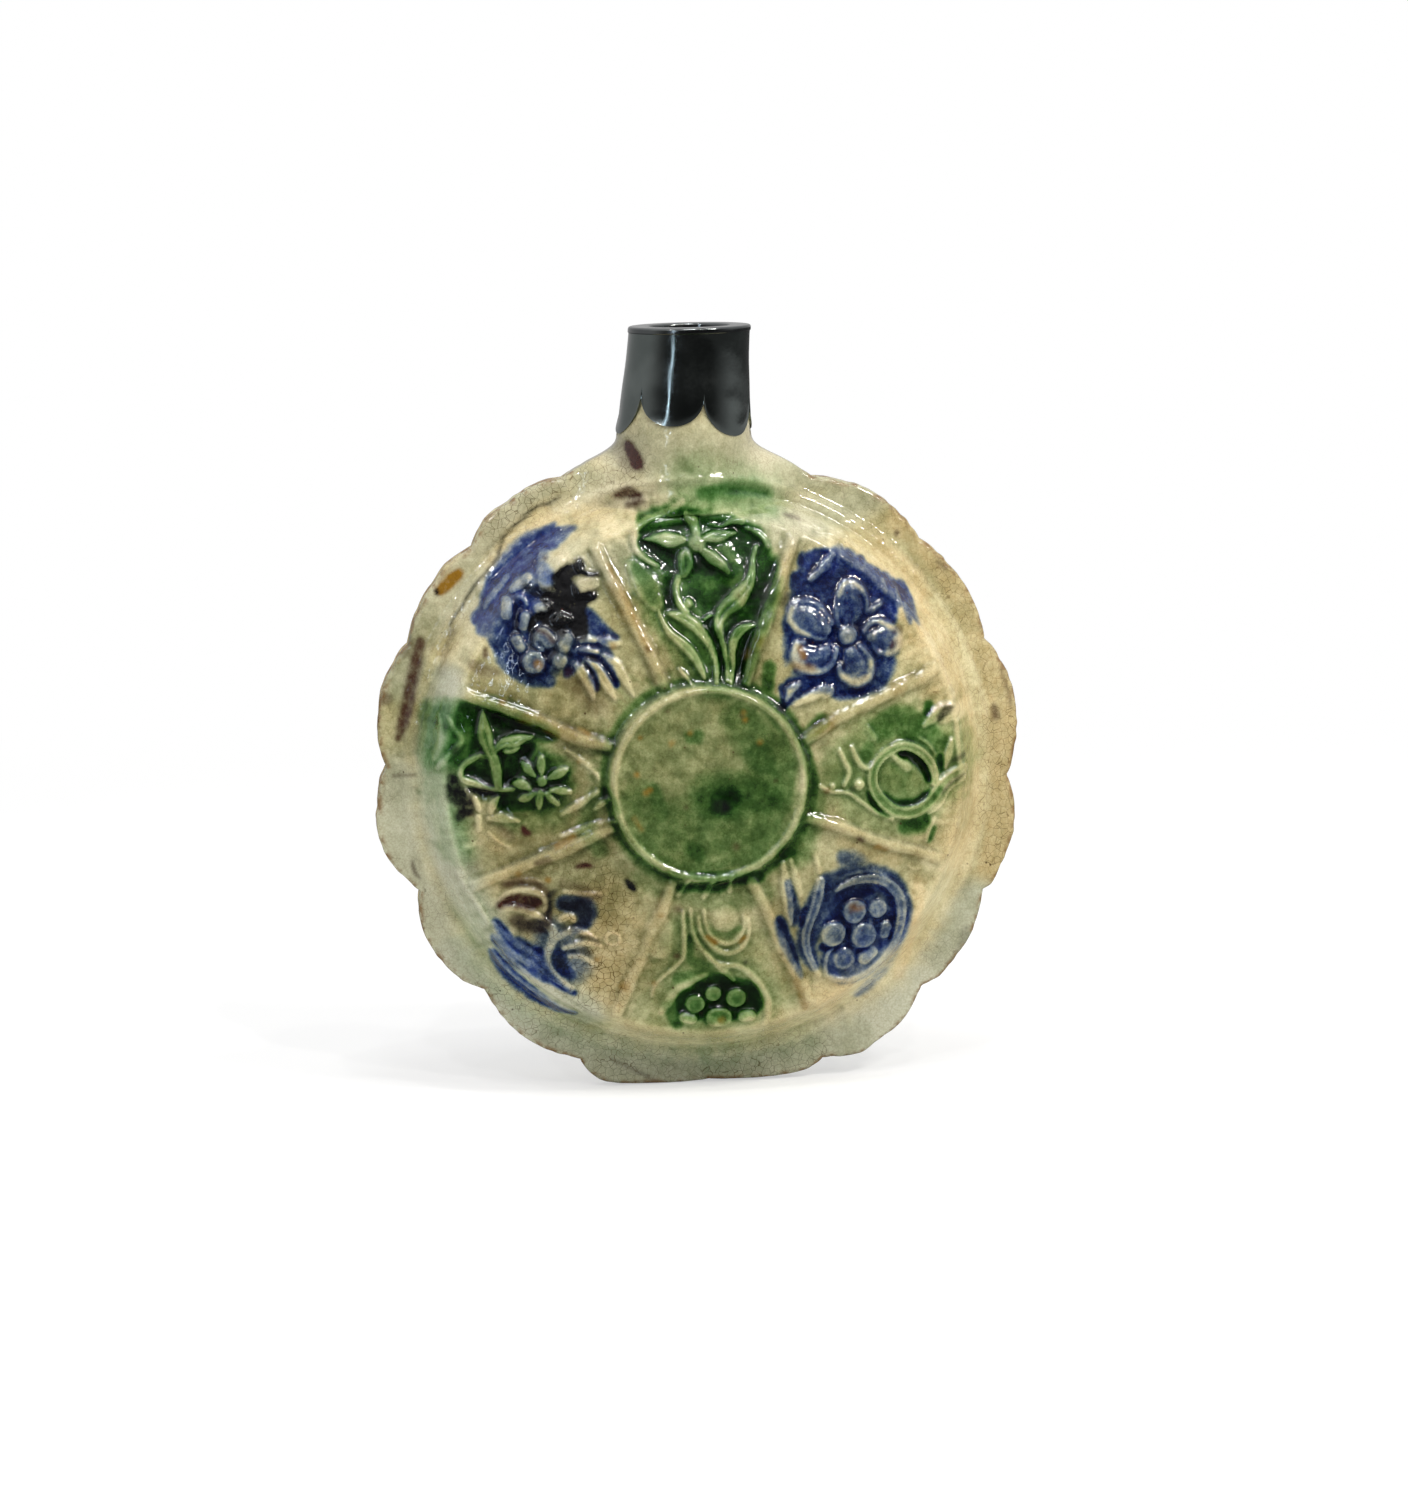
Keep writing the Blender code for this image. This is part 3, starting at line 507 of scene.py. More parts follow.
    (LEFT, """
leaf 0.95: 435 160 10, 440 260 76, 455 380 136, 485 480 110, 525 570 100, 552 690 88, 565 800 66
leaf 0.9: 855 388 10, 770 398 70, 690 425 116, 600 440 90, 545 490 60
round 0.7: 740 480 20, 690 500 44, 620 505 50; 262 735 50, 345 765 60, 450 808 46, 560 825 40, 690 820 34
round 0.65: 420 540 40, 340 580 50, 272 640 56, 250 705 50
round 0.5: 440 550 66
leaf 0.75: 300 830 40, 360 900 76, 405 985 50; 965 855 60, 1005 905 66, 1060 945 30
leaf 0.7: 565 885 34, 525 940 70, 500 1010 44
round 0.6: 400 1050 60, 405 1150 50
leaf 0.6: 480 1060 40, 590 1060 84, 735 1085 24
cup 0.9: 922 755 84
leaf 0.85: 922 690 40, 915 620 84, 920 560 40; 985 725 44, 1060 690 92, 1130 655 30; 825 815 40, \
760 780 96, 690 770 36
leaf 0.8: 865 710 36, 805 650 78, 765 600 36; 1000 825 40, 1080 830 80, 1160 845 34; 860 850 44, \
800 885 84, 750 905 40; 910 850 70, 900 920 74, 902 980 22
round 0.26: 70 190 26, 92 330 44, 72 480 50, 38 570 34
round 0.32: 145 220 26, 220 350 48, 262 425 50, 190 510 56, 100 600 50, 60 650 36
round 0.4: 1120 490 24, 1250 582 40, 1370 690 36, 1390 740 24
leaf 0.45: 1090 1025 30, 1220 955 66, 1390 835 34
leaf 0.5: 1360 985 30, 1420 935 60, 1470 900 36; 1080 1215 30, 1330 1130 76, 1520 1085 40
round 0.35: 480 1180 20, 560 1250 34, 650 1300 20
sunk 0.5: 570 200 90, 620 300 140, 830 340 90, 1000 380 50; 330 660 130, 440 720 90
sunk 0.6: 820 480 110, 700 640 150, 650 740 110
sunk 0.45: 330 830 40, 450 850 80, 560 860 40, 640 930 160
"""),
    (WHOLE, """
sunk 0.5: 416 858 7, 420 870 8
sunk 0.3: 455 615 2.2, 475 585 2.4, 499 556 2.6, 505 537 2.4, 526 515 2.4, 549 504 2.2, 560 496 2
"""),
)

STAIN_AND_LIGHT_NAMES = ("green", "blue", "brown", "black", "ochre", "tan", "grey", "murk", "bare", "craze")
# Stains traced the same way, some of them painted light: the grey rows along the lower and left flange
# are painted shade and the tan rows along the right flange painted warm light. A row says the stain, its
# amount and how soft its edge is.
STAINS_AND_PAINTED_LIGHT = (
    (TOP, """
green 0.4 0.4: 700 480 640, 720 700 800, 780 1000 620, 850 1350 400
green 0.8 0.3: 340 330 150, 480 290 170, 700 290 150, 880 330 170, 1060 420 200; 1050 470 260, \
1140 650 260, 1150 850 240, 1090 1050 200, 1030 1240 150, 990 1390 90
green 0.95 0.3: 340 450 120, 430 530 130, 540 640 130, 700 600 130, 850 680 130, 940 640 110; \
500 700 90, 500 900 70; 1090 1130 140, 1030 1280 110
green 0.75 0.3: 750 760 330, 820 860 280
green 1 0.3: 770 1000 90, 830 1130 80, 880 1330 60; 960 930 110, 1010 1000 120, 900 1120 60
green 0.5 0.7: 730 110 90, 880 80 120, 1050 60 120, 1180 85 60
green 0.16 0.6: 680 180 120, 850 170 150, 1050 180 120
green 0.5 0.5: 300 620 160, 400 800 200
brown 0.9 0.3: 120 110 50, 200 90 80, 280 110 50
brown 0.75 0.4: 190 180 40, 250 165 46, 320 150 20
brown 0.85 0.3: 985 825 26
brown 0.6 0.4: 1310 245 20, 1370 260 26, 1425 278 14
ochre 0.46 0.6: 50 600 34, 150 770 40, 245 980 34, 340 1200 36
brown 0.6 0.5: 325 1195 30, 355 1215 24
tan 0.4 0.7: 30 560 110, 240 960 110, 420 1330 110
"""),
    (UPPER_LEFT, """
blue 0.6 0.4: 850 90 12, 760 130 60, 660 200 100; 1050 1010 100, 1110 1080 50
blue 0.62 0.4: 690 60 14, 620 130 80, 540 220 120
blue 0.72 0.3: 730 110 30, 650 160 90, 560 210 170, 440 310 210, 320 440 200, 230 580 150, 180 720 110
blue 0.8 0.3: 100 800 90, 240 830 230, 300 960 210, 360 1100 190, 470 1220 140, 640 1270 90; \
120 890 60, 260 880 150
blue 0.95 0.3: 400 600 90, 390 720 110, 380 880 90; 330 980 60, 360 1080 70, 450 1200 60, 600 1240 50, \
620 1060 80
blue 0.75 0.4: 560 400 130, 620 480 130
blue 0.85 0.3: 900 780 140, 1000 860 130, 1100 920 70, 1160 940 30; 860 1060 130, 820 1150 90, 780 1220 50
blue 1 0.25: 880 1080 50, 1000 1090 60, 1090 1170 66, 1130 1240 50, 1160 1300 36; 930 1130 30, \
980 1230 60, 1005 1330 30
blue 0.95 0.25: 870 1000 36, 1000 1005 46, 1060 950 50, 1100 930 50
black 1 0.15: 710 480 100, 800 430 110, 870 410 90, 880 360 70; 880 420 60, 940 448 46, 1012 452 46; \
740 500 120, 780 580 170, 840 660 180, 910 630 100, 975 612 84; 640 640 120, 760 720 220, 850 800 170, \
890 900 110
black 1 0.2: 740 880 90, 650 800 110, 560 770 70, 500 870 50
black 0.75 0.4: 470 560 90, 600 590 100, 690 560 60
blue 0.62 0.3: 470 660 330, 520 860 480, 560 1040 380
blue 0.55 0.4: 800 900 200, 900 1000 170
black 0.6 0.5: 520 800 50, 520 920 50, 500 1010 40
black 0.55 0.5: 600 840 60, 690 890 60, 700 1050 40
black 0.5 0.5: 380 640 40, 390 760 50, 380 880 40
brown 0.7 0.3: 155 1030 40, 158 1075 56
brown 0.45 0.5: 60 1150 70, 150 1190 100, 250 1210 60
brown 0.7 0.4: 560 880 40, 620 900 40, 670 960 40
brown 0.8 0.3: 610 325 30
brown 0.3 0.6: 800 1250 120, 1000 1450 200
ochre 0.7 0.4: 1135 1005 50
ochre 0.6 0.4: 560 1140 60
tan 0.5 0.6: 760 370 160, 930 520 120; 1000 200 60, 1150 500 80, 1300 830 80
tan 0.4 0.7: 1000 1300 400, 700 1420 260
"""),
    (UPPER_RIGHT, """
blue 0.94 0.14: 340 230 260, 560 220 270, 760 330 280, 950 430 240, 1080 500 150
blue 0.92 0.14: 260 380 260, 500 420 320, 800 520 360, 960 620 240
blue 0.75 0.15: 1090 420 130, 1170 560 110, 1230 680 40, 1262 740 14; 1140 580 60, 1185 715 30
blue 0.85 0.15: 400 650 620, 420 1000 560, 640 1150 380
blue 0.8 0.25: 820 850 420, 950 900 280
blue 0.75 0.3: 960 1080 200, 880 1200 200, 740 1290 140, 560 1330 130
blue 0.9 0.2: 60 1450 70, 130 1390 60, 240 1310 90, 380 1260 130
blue 1 0.3: 640 560 110, 650 680 120; 640 1030 130; 480 860 80, 420 990 60, 560 880 80; 500 560 60, \
470 420 90, 320 420 90; 560 1310 70, 700 1340 70, 840 1270 60
blue 0.95 0.3: 110 760 50, 140 850 60, 250 860 50
black 0.55 0.5: 80 560 60, 110 480 60
ochre 0.62 0.5: 215 940 60, 240 1010 70
brown 0.55 0.4: 290 1090 60
ochre 0.5 0.5: 170 1090 70, 330 1120 60
brown 0.65 0.4: 1030 890 46, 1015 940 40
brown 0.5 0.4: 1040 800 40, 1090 760 40, 1100 830 30; 785 1195 40
tan 0.55 0.5: 1150 850 130, 1050 900 90
bare 0.6 0.5: 1240 540 110, 1300 700 140, 1310 900 160
bare 0.85 0.6: 150 590 50, 130 690 70, 190 780 70, 290 830 54
bare 0.75 0.4: 190 920 70, 180 1020 90, 250 1110 90, 380 1135 60; 1060 850 60, 1060 940 70, 980 985 60
bare 0.88 0.5: 590 1180 60, 700 1235 80, 810 1180 60
bare 0.75 0.6: 920 710 50, 1010 770 60
bare 0.8 0.6: 560 480 40, 590 400 50, 660 365 56, 750 430 44
bare 0.35 0.5: 630 825 130
bare 0.5 0.5: 170 1380 40, 210 1330 40
tan 0.6 0.6: 900 60 200, 1150 250 200, 1280 500 160, 1290 800 160
"""),
    (RIGHT, """
green 0.19 0.5: 250 700 500, 600 650 900, 950 600 700
green 0.46 0.4: 480 330 200, 650 260 250, 800 330 260, 950 430 220
green 0.42 0.4: 400 480 130, 370 560 90
green 0.28 0.3: 690 750 400
green 0.4 0.3: 905 590 70, 820 505 70, 700 462 70, 580 500 70, 480 590 70, 435 700 80, 450 820 90, \
530 935 100, 650 1008 100, 790 1000 100, 905 920 100, 980 820 90
green 0.98 0.25: 670 530 40, 760 555 60, 850 640 70, 900 740 50
green 0.78 0.3: 520 870 60, 640 930 60, 800 910 60, 900 850 50
green 0.8 0.3: 410 860 50, 480 990 46, 560 1040 30
green 0.62 0.6: 700 1130 110, 830 1110 130, 880 1050 60
green 0.55 0.6: 935 1150 50, 905 1240 36
green 0.85 0.3: 990 560 60, 1000 660 50
green 0.7 0.4: 900 130 70, 880 200 60
black 0.72 0.15: 985 235 50, 1035 170 84, 1090 135 30
black 0.55 0.25: 1010 850 30, 1060 780 46, 1180 685 30
black 0.5 0.25: 1040 640 30, 1100 580 46, 1190 530 46
black 0.55 0.4: 270 820 44; 60 840 36
brown 0.7 0.4: 320 1225 50, 350 1240 40
ochre 0.55 0.5: 470 1290 44, 560 1310 36
ochre 0.5 0.5: 60 830 50
tan 0.5 0.6: 1200 100 160, 1260 600 160, 1200 1200 200
tan 0.45 0.6: 200 1250 120, 600 1400 160
"""),
    (LOWER_RIGHT, """
blue 0.6 0.3: 480 330 230, 700 260 250, 950 300 250, 1100 460 190, 1120 640 170, 1060 820 180, \
950 960 200, 800 1080 230, 600 1110 250, 470 1010 200
blue 0.68 0.3: 620 560 500, 820 700 560, 700 900 460
blue 0.42 0.6: 570 60 90, 660 130 200, 700 230 260
blue 0.62 0.3: 420 300 130, 390 500 250, 290 700 220, 250 900 170, 320 1070 90
blue 0.98 0.3: 0 660 90, 60 850 110, 130 1020 76, 190 1160 30; 420 660 60, 560 620 90
blue 0.6 0.4: 70 300 60, 120 480 90, 150 640 130
blue 0.34 0.7: 1180 560 90, 1120 780 110, 1000 1020 130, 850 1200 150, 720 1310 100
blue 1 0.25: 900 330 60, 1010 390 70, 1060 520 66, 1040 690 46, 1020 820 36
blue 0.95 0.3: 640 660 70, 630 800 60, 650 900 40
blue 0.9 0.3: 560 450 120, 700 400 90, 850 380 90; 400 900 90, 520 930 50, 720 930 50, 930 900 60; \
230 560 60, 200 700 50
ochre 0.46 0.6: 665 520 60, 720 540 56, 765 530 36
blue 0.5 0.5: 495 780 210
brown 0.5 0.4: 650 570 40, 710 470 30
green 0.75 0.5: 20 20 150, 120 30 80
tan 0.45 0.5: 450 1350 360, 600 1250 200
tan 0.55 0.6: 1280 300 140, 1250 700 120, 1100 1150 120
ochre 0.4 0.6: 150 1200 50, 230 1450 60
"""),
    (BOTTOM, """
green 0.16 0.6: 560 500 300, 750 900 800, 800 1100 1100
green 0.85 0.18: 590 1100 280, 830 1060 420, 1060 1090 280
green 1 0.3: 640 990 90, 830 930 110, 1050 1000 170, 1130 1120 120
green 0.55 0.5: 430 1130 150, 470 1280 90
green 0.42 0.5: 575 560 60, 590 740 90, 700 830 150, 480 900 110
green 0.26 0.5: 570 420 60, 640 560 40, 740 680 40, 850 740 40
green 0.75 0.4: 400 40 90, 600 50 60, 820 70 110, 1000 60 110, 1150 50 100
green 0.65 0.4: 510 150 70, 830 130 110
green 0.22 0.5: 740 500 50, 880 540 60, 990 480 40
ochre 0.75 0.3: 720 550 36, 790 600 46; 1035 550 30, 990 595 30
ochre 0.55 0.4: 340 370 50
ochre 0.45 0.5: 40 960 80; 830 1235 60
ochre 0.5 0.4: 280 935 40
brown 0.5 0.4: 485 325 60
brown 0.65 0.3: 470 715 50
black 0.7 0.3: 1040 762 44
black 0.95 0.2: 60 110 40, 95 135 60, 110 165 30
black 0.6 0.3: 1330 690 34
tan 0.45 0.6: 100 500 400, 120 800 300
tan 0.5 0.6: 1300 700 120, 1430 950 160
"""),
    (LOWER_LEFT, """
brown 0.62 0.5: 560 255 60, 700 240 84, 830 275 70, 870 335 50
brown 0.88 0.4: 520 410 60, 620 375 110, 760 395 120, 815 395 70
black 0.4 0.5: 740 400 70, 800 380 60
brown 0.6 0.5: 640 525 90, 740 565 110, 850 560 90, 885 480 60
black 0.78 0.35: 950 300 24, 900 345 60, 895 430 56, 870 510 44
black 0.66 0.6: 690 560 130, 860 570 90
black 0.55 0.35: 1000 415 80, 1140 430 110, 1160 520 90, 1080 570 50, 1000 590 34
blue 0.72 0.4: 1000 400 110, 1150 430 150, 1170 530 110, 1080 600 60; 470 760 60, 590 920 110, \
760 1065 96, 950 1180 60, 1080 1215 24
blue 0.8 0.4: 970 770 90, 990 870 120, 1065 935 70
blue 0.34 0.7: 1000 680 200, 1080 860 240
black 0.5 0.4: 970 820 60, 1000 880 60; 1070 765 36, 1170 760 50, 1200 790 40
blue 0.95 0.3: 790 745 60, 830 770 50
black 0.65 0.4: 1120 655 34, 1190 650 36, 1260 690 34
blue 0.8 0.3: 495 535 44, 555 625 74, 620 725 60
blue 0.58 0.4: 500 660 80, 640 800 130, 800 900 130, 900 960 80
blue 0.7 0.4: 650 720 120, 780 810 150, 870 920 90, 980 1020 40, 1080 1070 30
blue 0.3 0.6: 900 600 200, 900 800 200, 1100 900 150
brown 0.55 0.4: 800 90 50, 880 70 50
brown 0.85 0.25: 1100 130 30, 1150 115 50, 1205 125 34
black 0.95 0.2: 1465 230 30, 1500 265 66, 1530 300 30
ochre 0.7 0.4: 885 225 46
ochre 0.55 0.4: 660 180 60; 1440 1020 50
ochre 0.5 0.4: 1250 820 50
brown 0.35 0.6: 1000 260 90, 1250 350 90
tan 0.6 0.6: 1250 500 500, 1350 800 400, 1350 1100 250
tan 0.5 0.6: 700 150 200, 400 300 150
"""),
    (LEFT, """
green 0.72 0.5: 150 250 250, 350 250 330, 550 300 350, 780 330 250, 1000 370 120
green 0.64 0.5: 250 500 300, 600 600 550, 900 760 480
green 0.95 0.3: 520 160 60, 590 270 120, 740 320 80, 850 340 70, 1000 370 30
green 1 0.3: 830 470 100, 720 610 140, 660 730 100
green 0.98 0.3: 320 660 110, 430 710 90, 500 790 40
green 0.85 0.3: 385 240 60, 365 400 60, 330 540 50; 610 930 130, 700 960 90, 850 960 60
green 0.8 0.3: 1140 690 50, 1100 760 30, 980 770 60, 860 740 60
green 0.75 0.4: 210 300 120, 150 560 90
green 0.36 0.6: 30 200 180, 50 600 200
green 0.65 0.4: 1460 850 90, 1530 1000 90
green 0.2 0.6: 1000 1000 300, 700 1050 250
black 0.8 0.2: 185 740 90, 215 860 170, 300 960 150, 240 1060 60
black 0.92 0.2: 320 820 36, 430 845 84, 540 860 40
black 0.6 0.3: 225 480 40, 190 530 30
brown 0.95 0.25: 770 1140 40, 790 1180 60, 830 1185 30
brown 0.4 0.5: 590 1150 60, 660 1200 90
brown 0.6 0.4: 260 1010 40, 350 1030 40
brown 0.6 0.3: 365 1110 30; 412 1252 24
ochre 0.5 0.5: 1050 1290 46, 1180 1210 50; 600 95 50
ochre 0.55 0.4: 1230 590 36; 1310 365 34, 1230 320 28
tan 0.45 0.6: 1200 750 200, 900 1100 400, 600 1250 200
tan 0.45 0.5: 400 20 90, 900 220 90, 1400 420 90
"""),
    # In the whole view, the grey rows on the lower and left flange are painted shade and the tan rows on the
    # right flange painted warm light.
    (WHOLE, """
brown 1 0.3: 628 445 9, 633 455 13, 637 464 14
brown 0.35 0.6: 620 447 18, 628 466 14
ochre 0.95 0.3: 440 591 9, 448 583 13, 459 573 9
black 1 0.3: 436 590 4, 437 594 4
brown 0.76 0.4: 421 641 9, 412 680 12, 405 715 12, 398 738 7
brown 0.4 0.6: 404 650 14, 408 640 10
brown 0.55 0.5: 385 699 13; 741 716 4
brown 0.45 0.4: 393 776 4, 414 775 4; 939 562 5, 946 568 5
brown 0.22 0.6: 452 632 9, 446 650 8, 442 672 8
brown 0.8 0.3: 897 533 6
brown 0.6 0.4: 994 706 7, 996 716 9; 686 808 4; 412 862 3, 415 872 4, 420 878 3
brown 0.4 0.4: 1001 668 4, 1006 685 5, 1011 705 4
black 0.3 0.6: 966 930 10, 962 950 12, 950 966 10
brown 0.5 0.4: 611 1059 3, 634 1070 3, 657 1081 3; 736 847 7
tan 0.6 0.5: 900 520 30, 950 575 34, 985 640 36, 1003 720 36, 1005 800 34, 990 870 30
tan 0.4 0.6: 860 560 60, 930 640 50, 960 740 46, 960 850 46; 560 500 40, 480 560 50, 430 640 40
tan 0.5 0.6: 610 450 50, 690 450 60, 760 460 40
tan 0.3 0.6: 640 480 60, 590 520 50
grey 0.85 0.6: 450 960 60, 520 1030 60, 620 1070 70, 720 1080 70, 830 1060 70, 930 990 60, 975 900 40; \
586 1013 36, 511 960 40, 455 872 44, 436 773 40, 449 682 30
grey 0.7 0.6: 395 780 50, 400 850 50, 430 930 60
grey 0.55 0.6: 790 470 40, 860 500 40, 450 600 50, 400 680 40
green 0.24 0.7: 446 730 28, 446 780 36, 456 850 30
green 0.05 0.7: 470 900 40, 500 980 40, 620 1040 40, 800 1040 40
green 0.34 0.8: 706 494 14, 730 490 22, 752 489 20, 770 493 10
green 0.2 0.8: 690 506 20, 730 503 26, 770 508 18
green 0.13 0.9: 690 480 46, 720 495 60, 760 500 46
grey 0.2 0.6: 708 783 190
green 0.12 0.12: 698 774 200
green 0.34 0.5: ring 698 774 93 9
tan 0.4 0.2: 698 774 184
murk 0.9 0.12: 698 774 172
green 0.3 0.6: 640 800 40, 660 840 50, 700 862 40
green 0.34 0.6: 740 720 40, 775 760 50
green 0.36 0.7: 690 830 70, 750 832 80
green 0.6 0.7: 715 800 50, 765 795 50
green 1 0.5: 724 803 32, 732 798 26
green 0.8 0.5: 724 792 16, 736 796 16
black 0.72 0.6: 720 806 13, 724 808 12
green 0.5 0.6: 760 755 34, 775 800 34
green 0.55 0.5: 690 848 18, 700 856 14
green 0.42 0.5: 652 790 16, 662 815 18; 808 736 14, 822 722 14
green 0.45 0.5: 688 735 8, 698 740 8
ochre 0.75 0.4: 671 744 5
ochre 0.7 0.4: 637 775 5
ochre 0.6 0.4: 646 793 6; 745 720 5
ochre 0.55 0.4: 640 738 4
ochre 0.34 0.5: 634 818 4, 642 830 4
brown 0.55 0.4: 776 781 4
green 0.5 0.5: 698 736 12, 690 740 8; 613 815 8, 621 834 10, 638 855 10, 660 872 8
ochre 0.6 0.5: 672 743 6; 650 790 5
ochre 0.55 0.5: 690 733 5
brown 0.5 0.5: 668 712 4
ochre 0.5 0.5: 760 742 5
ochre 0.45 0.5: 744 713 5
green 0.46 0.4: 797 731 10, 812 783 14, 799 834 18, 768 866 14
green 0.22 0.5: 762 873 14, 708 888 14, 655 874 14, 618 836 12
green 0.4 0.5: 752 690 12, 772 702 14, 790 724 14, 801 745 12
green 0.75 0.4: 742 682 10, 750 662 12, 754 642 12
blue 0.95 0.3: 783 688 7, 785 703 6; 790 684 9, 806 680 9, 822 676 8
green 0.55 0.4: 770 668 12, 768 688 10
green 0.22 0.7: 596 800 16, 586 826 18, 600 850 14
green 0.26 0.6: 812 800 30, 798 850 30
green 0.12 0.6: 760 890 26, 720 900 24, 640 880 24
murk 0.6 0.12: 703 778 490
murk 0.76 0.35: 706 783 290
murk 1.1 0.5: 560 690 110, 540 780 140, 590 875 130
murk 0.38 0.5: 590 1015 50, 700 1042 50, 800 1020 40
murk 0.4 0.5: 962 740 30, 962 820 30
murk 0.3 0.6: 960 590 40, 988 650 44, 1003 730 44, 1005 800 44, 985 880 44, 950 950 44; 440 610 40, \
500 520 40, 580 470 44; 560 1045 50, 640 1070 56, 720 1080 60, 800 1065 50, 850 1040 40
murk 0.42 0.6: 800 480 44, 850 505 50, 930 560 50, 975 620 40
murk 0.7 0.7: 425 630 50, 408 690 50, 400 740 40
murk 0.34 0.6: 400 650 50, 395 740 50, 398 790 44
murk 0.14 0.6: 402 830 44, 430 900 50, 480 970 50
murk 0.45 0.7: 630 430 70, 680 445 80, 725 450 50
grey 0.6 0.7: 620 450 50, 690 455 80, 770 460 60
grey 0.4 0.7: 560 490 40, 640 480 50, 800 490 50
bare 0.55 0.7: 462 900 24, 452 872 30, 440 820 22, 436 780 16
bare 0.62 0.7: 885 960 36, 796 1018 36, 698 1040 30, 620 1030 26
bare 0.4 0.7: 452 690 24, 446 660 20
bare 0.26 0.8: 598 955 60, 618 990 50
bare 0.22 0.8: 778 962 50, 800 990 50
blue 0.9 0.4: 816 630 30, 832 642 40, 846 662 36
craze 1 0.5: 560 955 60, 600 985 60
craze 0.7 0.6: 590 905 80, 600 950 90
craze 0.6 0.6: 500 500 60, 560 470 50, 620 470 50
craze 0.4 0.6: 960 560 60, 1000 700 50, 1000 850 50
craze 0.5 0.6: 480 1000 60, 640 1060 60, 800 1050 60
black 0.95 0.4: 450 626 1.4, 455 615 2, 461 608 2, 466 599 2.2, 475 585 2.4, 486 572 2, 497 558 2.6, \
500 549 2.6, 504 537 2.4, 512 528 2.2, 520 521 2.4, 532 510 2.8, 544 504 2.4, 549 504 2.2, 560 496 1.6
black 0.55 0.5: 485 551 1.2, 493 545 1.8, 499 539 1.8, 503 535 1.8
black 0.6 0.5: 496 550 1.8, 498 554 2, 500 557 2
grey 0.55 0.5: 460 570 22, 482 545 24, 500 520 24, 530 495 24, 560 482 20
murk 0.16 0.5: 440 600 22, 470 560 22, 490 535 24, 520 505 24, 560 482 20
"""),
)


# Relief
def dome(share):
    """A half circle's height."""
    return np.sqrt(np.clip(1.0 - share * share, 0.0, 1.0))


SECTIONS = {  # height across a line, 0 to 1, for a share of its half width
    "round": dome,
    "flat": lambda share: ease(1.1, 0.7, share),
    "cup": lambda share: np.maximum(0.95 * bell(share, 0.82, 0.2), 0.8 * ease(1.05, 0.75, share)),
    "leaf": lambda share: dome(share) * (1.0 - 0.35 * bell(share, 0.0, 0.2)),
    "twin": lambda share: 0.46 * bell(share, 0.72, 0.2) + 0.60 * ease(1.15, 0.8, share),
    "rib": lambda share: 0.90 * ease(1.3, 0.15, share) + 0.14 * bell(share, 0.72, 0.24),
    "sunk": lambda share: ease(1.15, 0.6, share),
}
RELIEF_REACH = 1.6  # in half widths, how far a section can spread
RELIEF_GAIN = 1.3  # of the traced heights
SUNK_BLUR = 0.5
RELIEF_BLUR = 0.13
RIB_COUNT = 8
RIB_TURN = math.radians(22.5 - 1.0)
RIB_HALF_WIDTH = 1.08
RIB_HEIGHT = 0.92
RIB_CROOKEDNESS = 0.55
RIB_CROOK_SIZE = 8.0
RIB_SEED = 31
RIB_WEAR = 0.42
RIB_WEAR_SIZE = 4.0
RIB_WOBBLE = 0.16
RIB_WOBBLE_SIZE = 6.0
RIB_REACH = (18.6, 46.4)
RIB_ENDS = (0.6, 0.7)  # softness of its inner and outer end
PANEL_SINK = 0.35
PANEL_REACH = (20.5, 46.2)
PANEL_MARGIN = 1.4  # between a rib's middle and the sunken panel
PANEL_SOFTNESS = 0.5
BODY_UNEVENNESS = 0.17
BODY_WAVE = 9.0
FINE_UNEVENNESS = 0.05
FINE_WAVE = 1.6


def rib_distance():
    """Distance of each cell from the middle line of the nearest rib, and along it."""
    turn = (MAP_ANGLE - RIB_TURN) * RIB_COUNT / FULL_TURN
    off = (turn - np.round(turn)) * FULL_TURN / RIB_COUNT
    crooked = RIB_CROOKEDNESS * noise(MAP_X / RIB_CROOK_SIZE, MAP_Z / RIB_CROOK_SIZE, RIB_SEED)
    return np.abs(MAP_R * np.sin(off) + crooked), MAP_R * np.cos(off)


def relief_map(seed):
    """Relief over the plain ground, in mm."""
    raised, sunk = np.zeros(MAP_X.shape), np.zeros(MAP_X.shape)
    for (kind, height), window, share in lines_of(RELIEF, RELIEF_REACH):
        part, gain = (sunk, 1.0) if kind == "sunk" else (raised, RELIEF_GAIN)
        part[window] = np.maximum(part[window], gain * float(height) * SECTIONS[kind](share))
    across, along = rib_distance()
    worn = 1.0 + RIB_WEAR * clouds(RIB_WEAR_SIZE, seed + 23, 2)
    wobble = RIB_WOBBLE * clouds(RIB_WOBBLE_SIZE, seed + 21, 2)
    rib = SECTIONS["rib"](across / RIB_HALF_WIDTH + wobble)
    rib = rib * RIB_HEIGHT * worn * within(along, RIB_REACH, *RIB_ENDS)
    panel = ease(PANEL_MARGIN - PANEL_SOFTNESS, PANEL_MARGIN + PANEL_SOFTNESS, across)
    panel = panel * within(MAP_R, PANEL_REACH, 1.0, PANEL_SOFTNESS)
    formed = np.maximum(raised, rib) - blur(sunk, SUNK_BLUR) - PANEL_SINK * panel
    uneven = clouds(BODY_WAVE, seed) * BODY_UNEVENNESS
    uneven = uneven + clouds(FINE_WAVE, seed + 9, 2) * FINE_UNEVENNESS
    return blur(formed, RELIEF_BLUR) + uneven
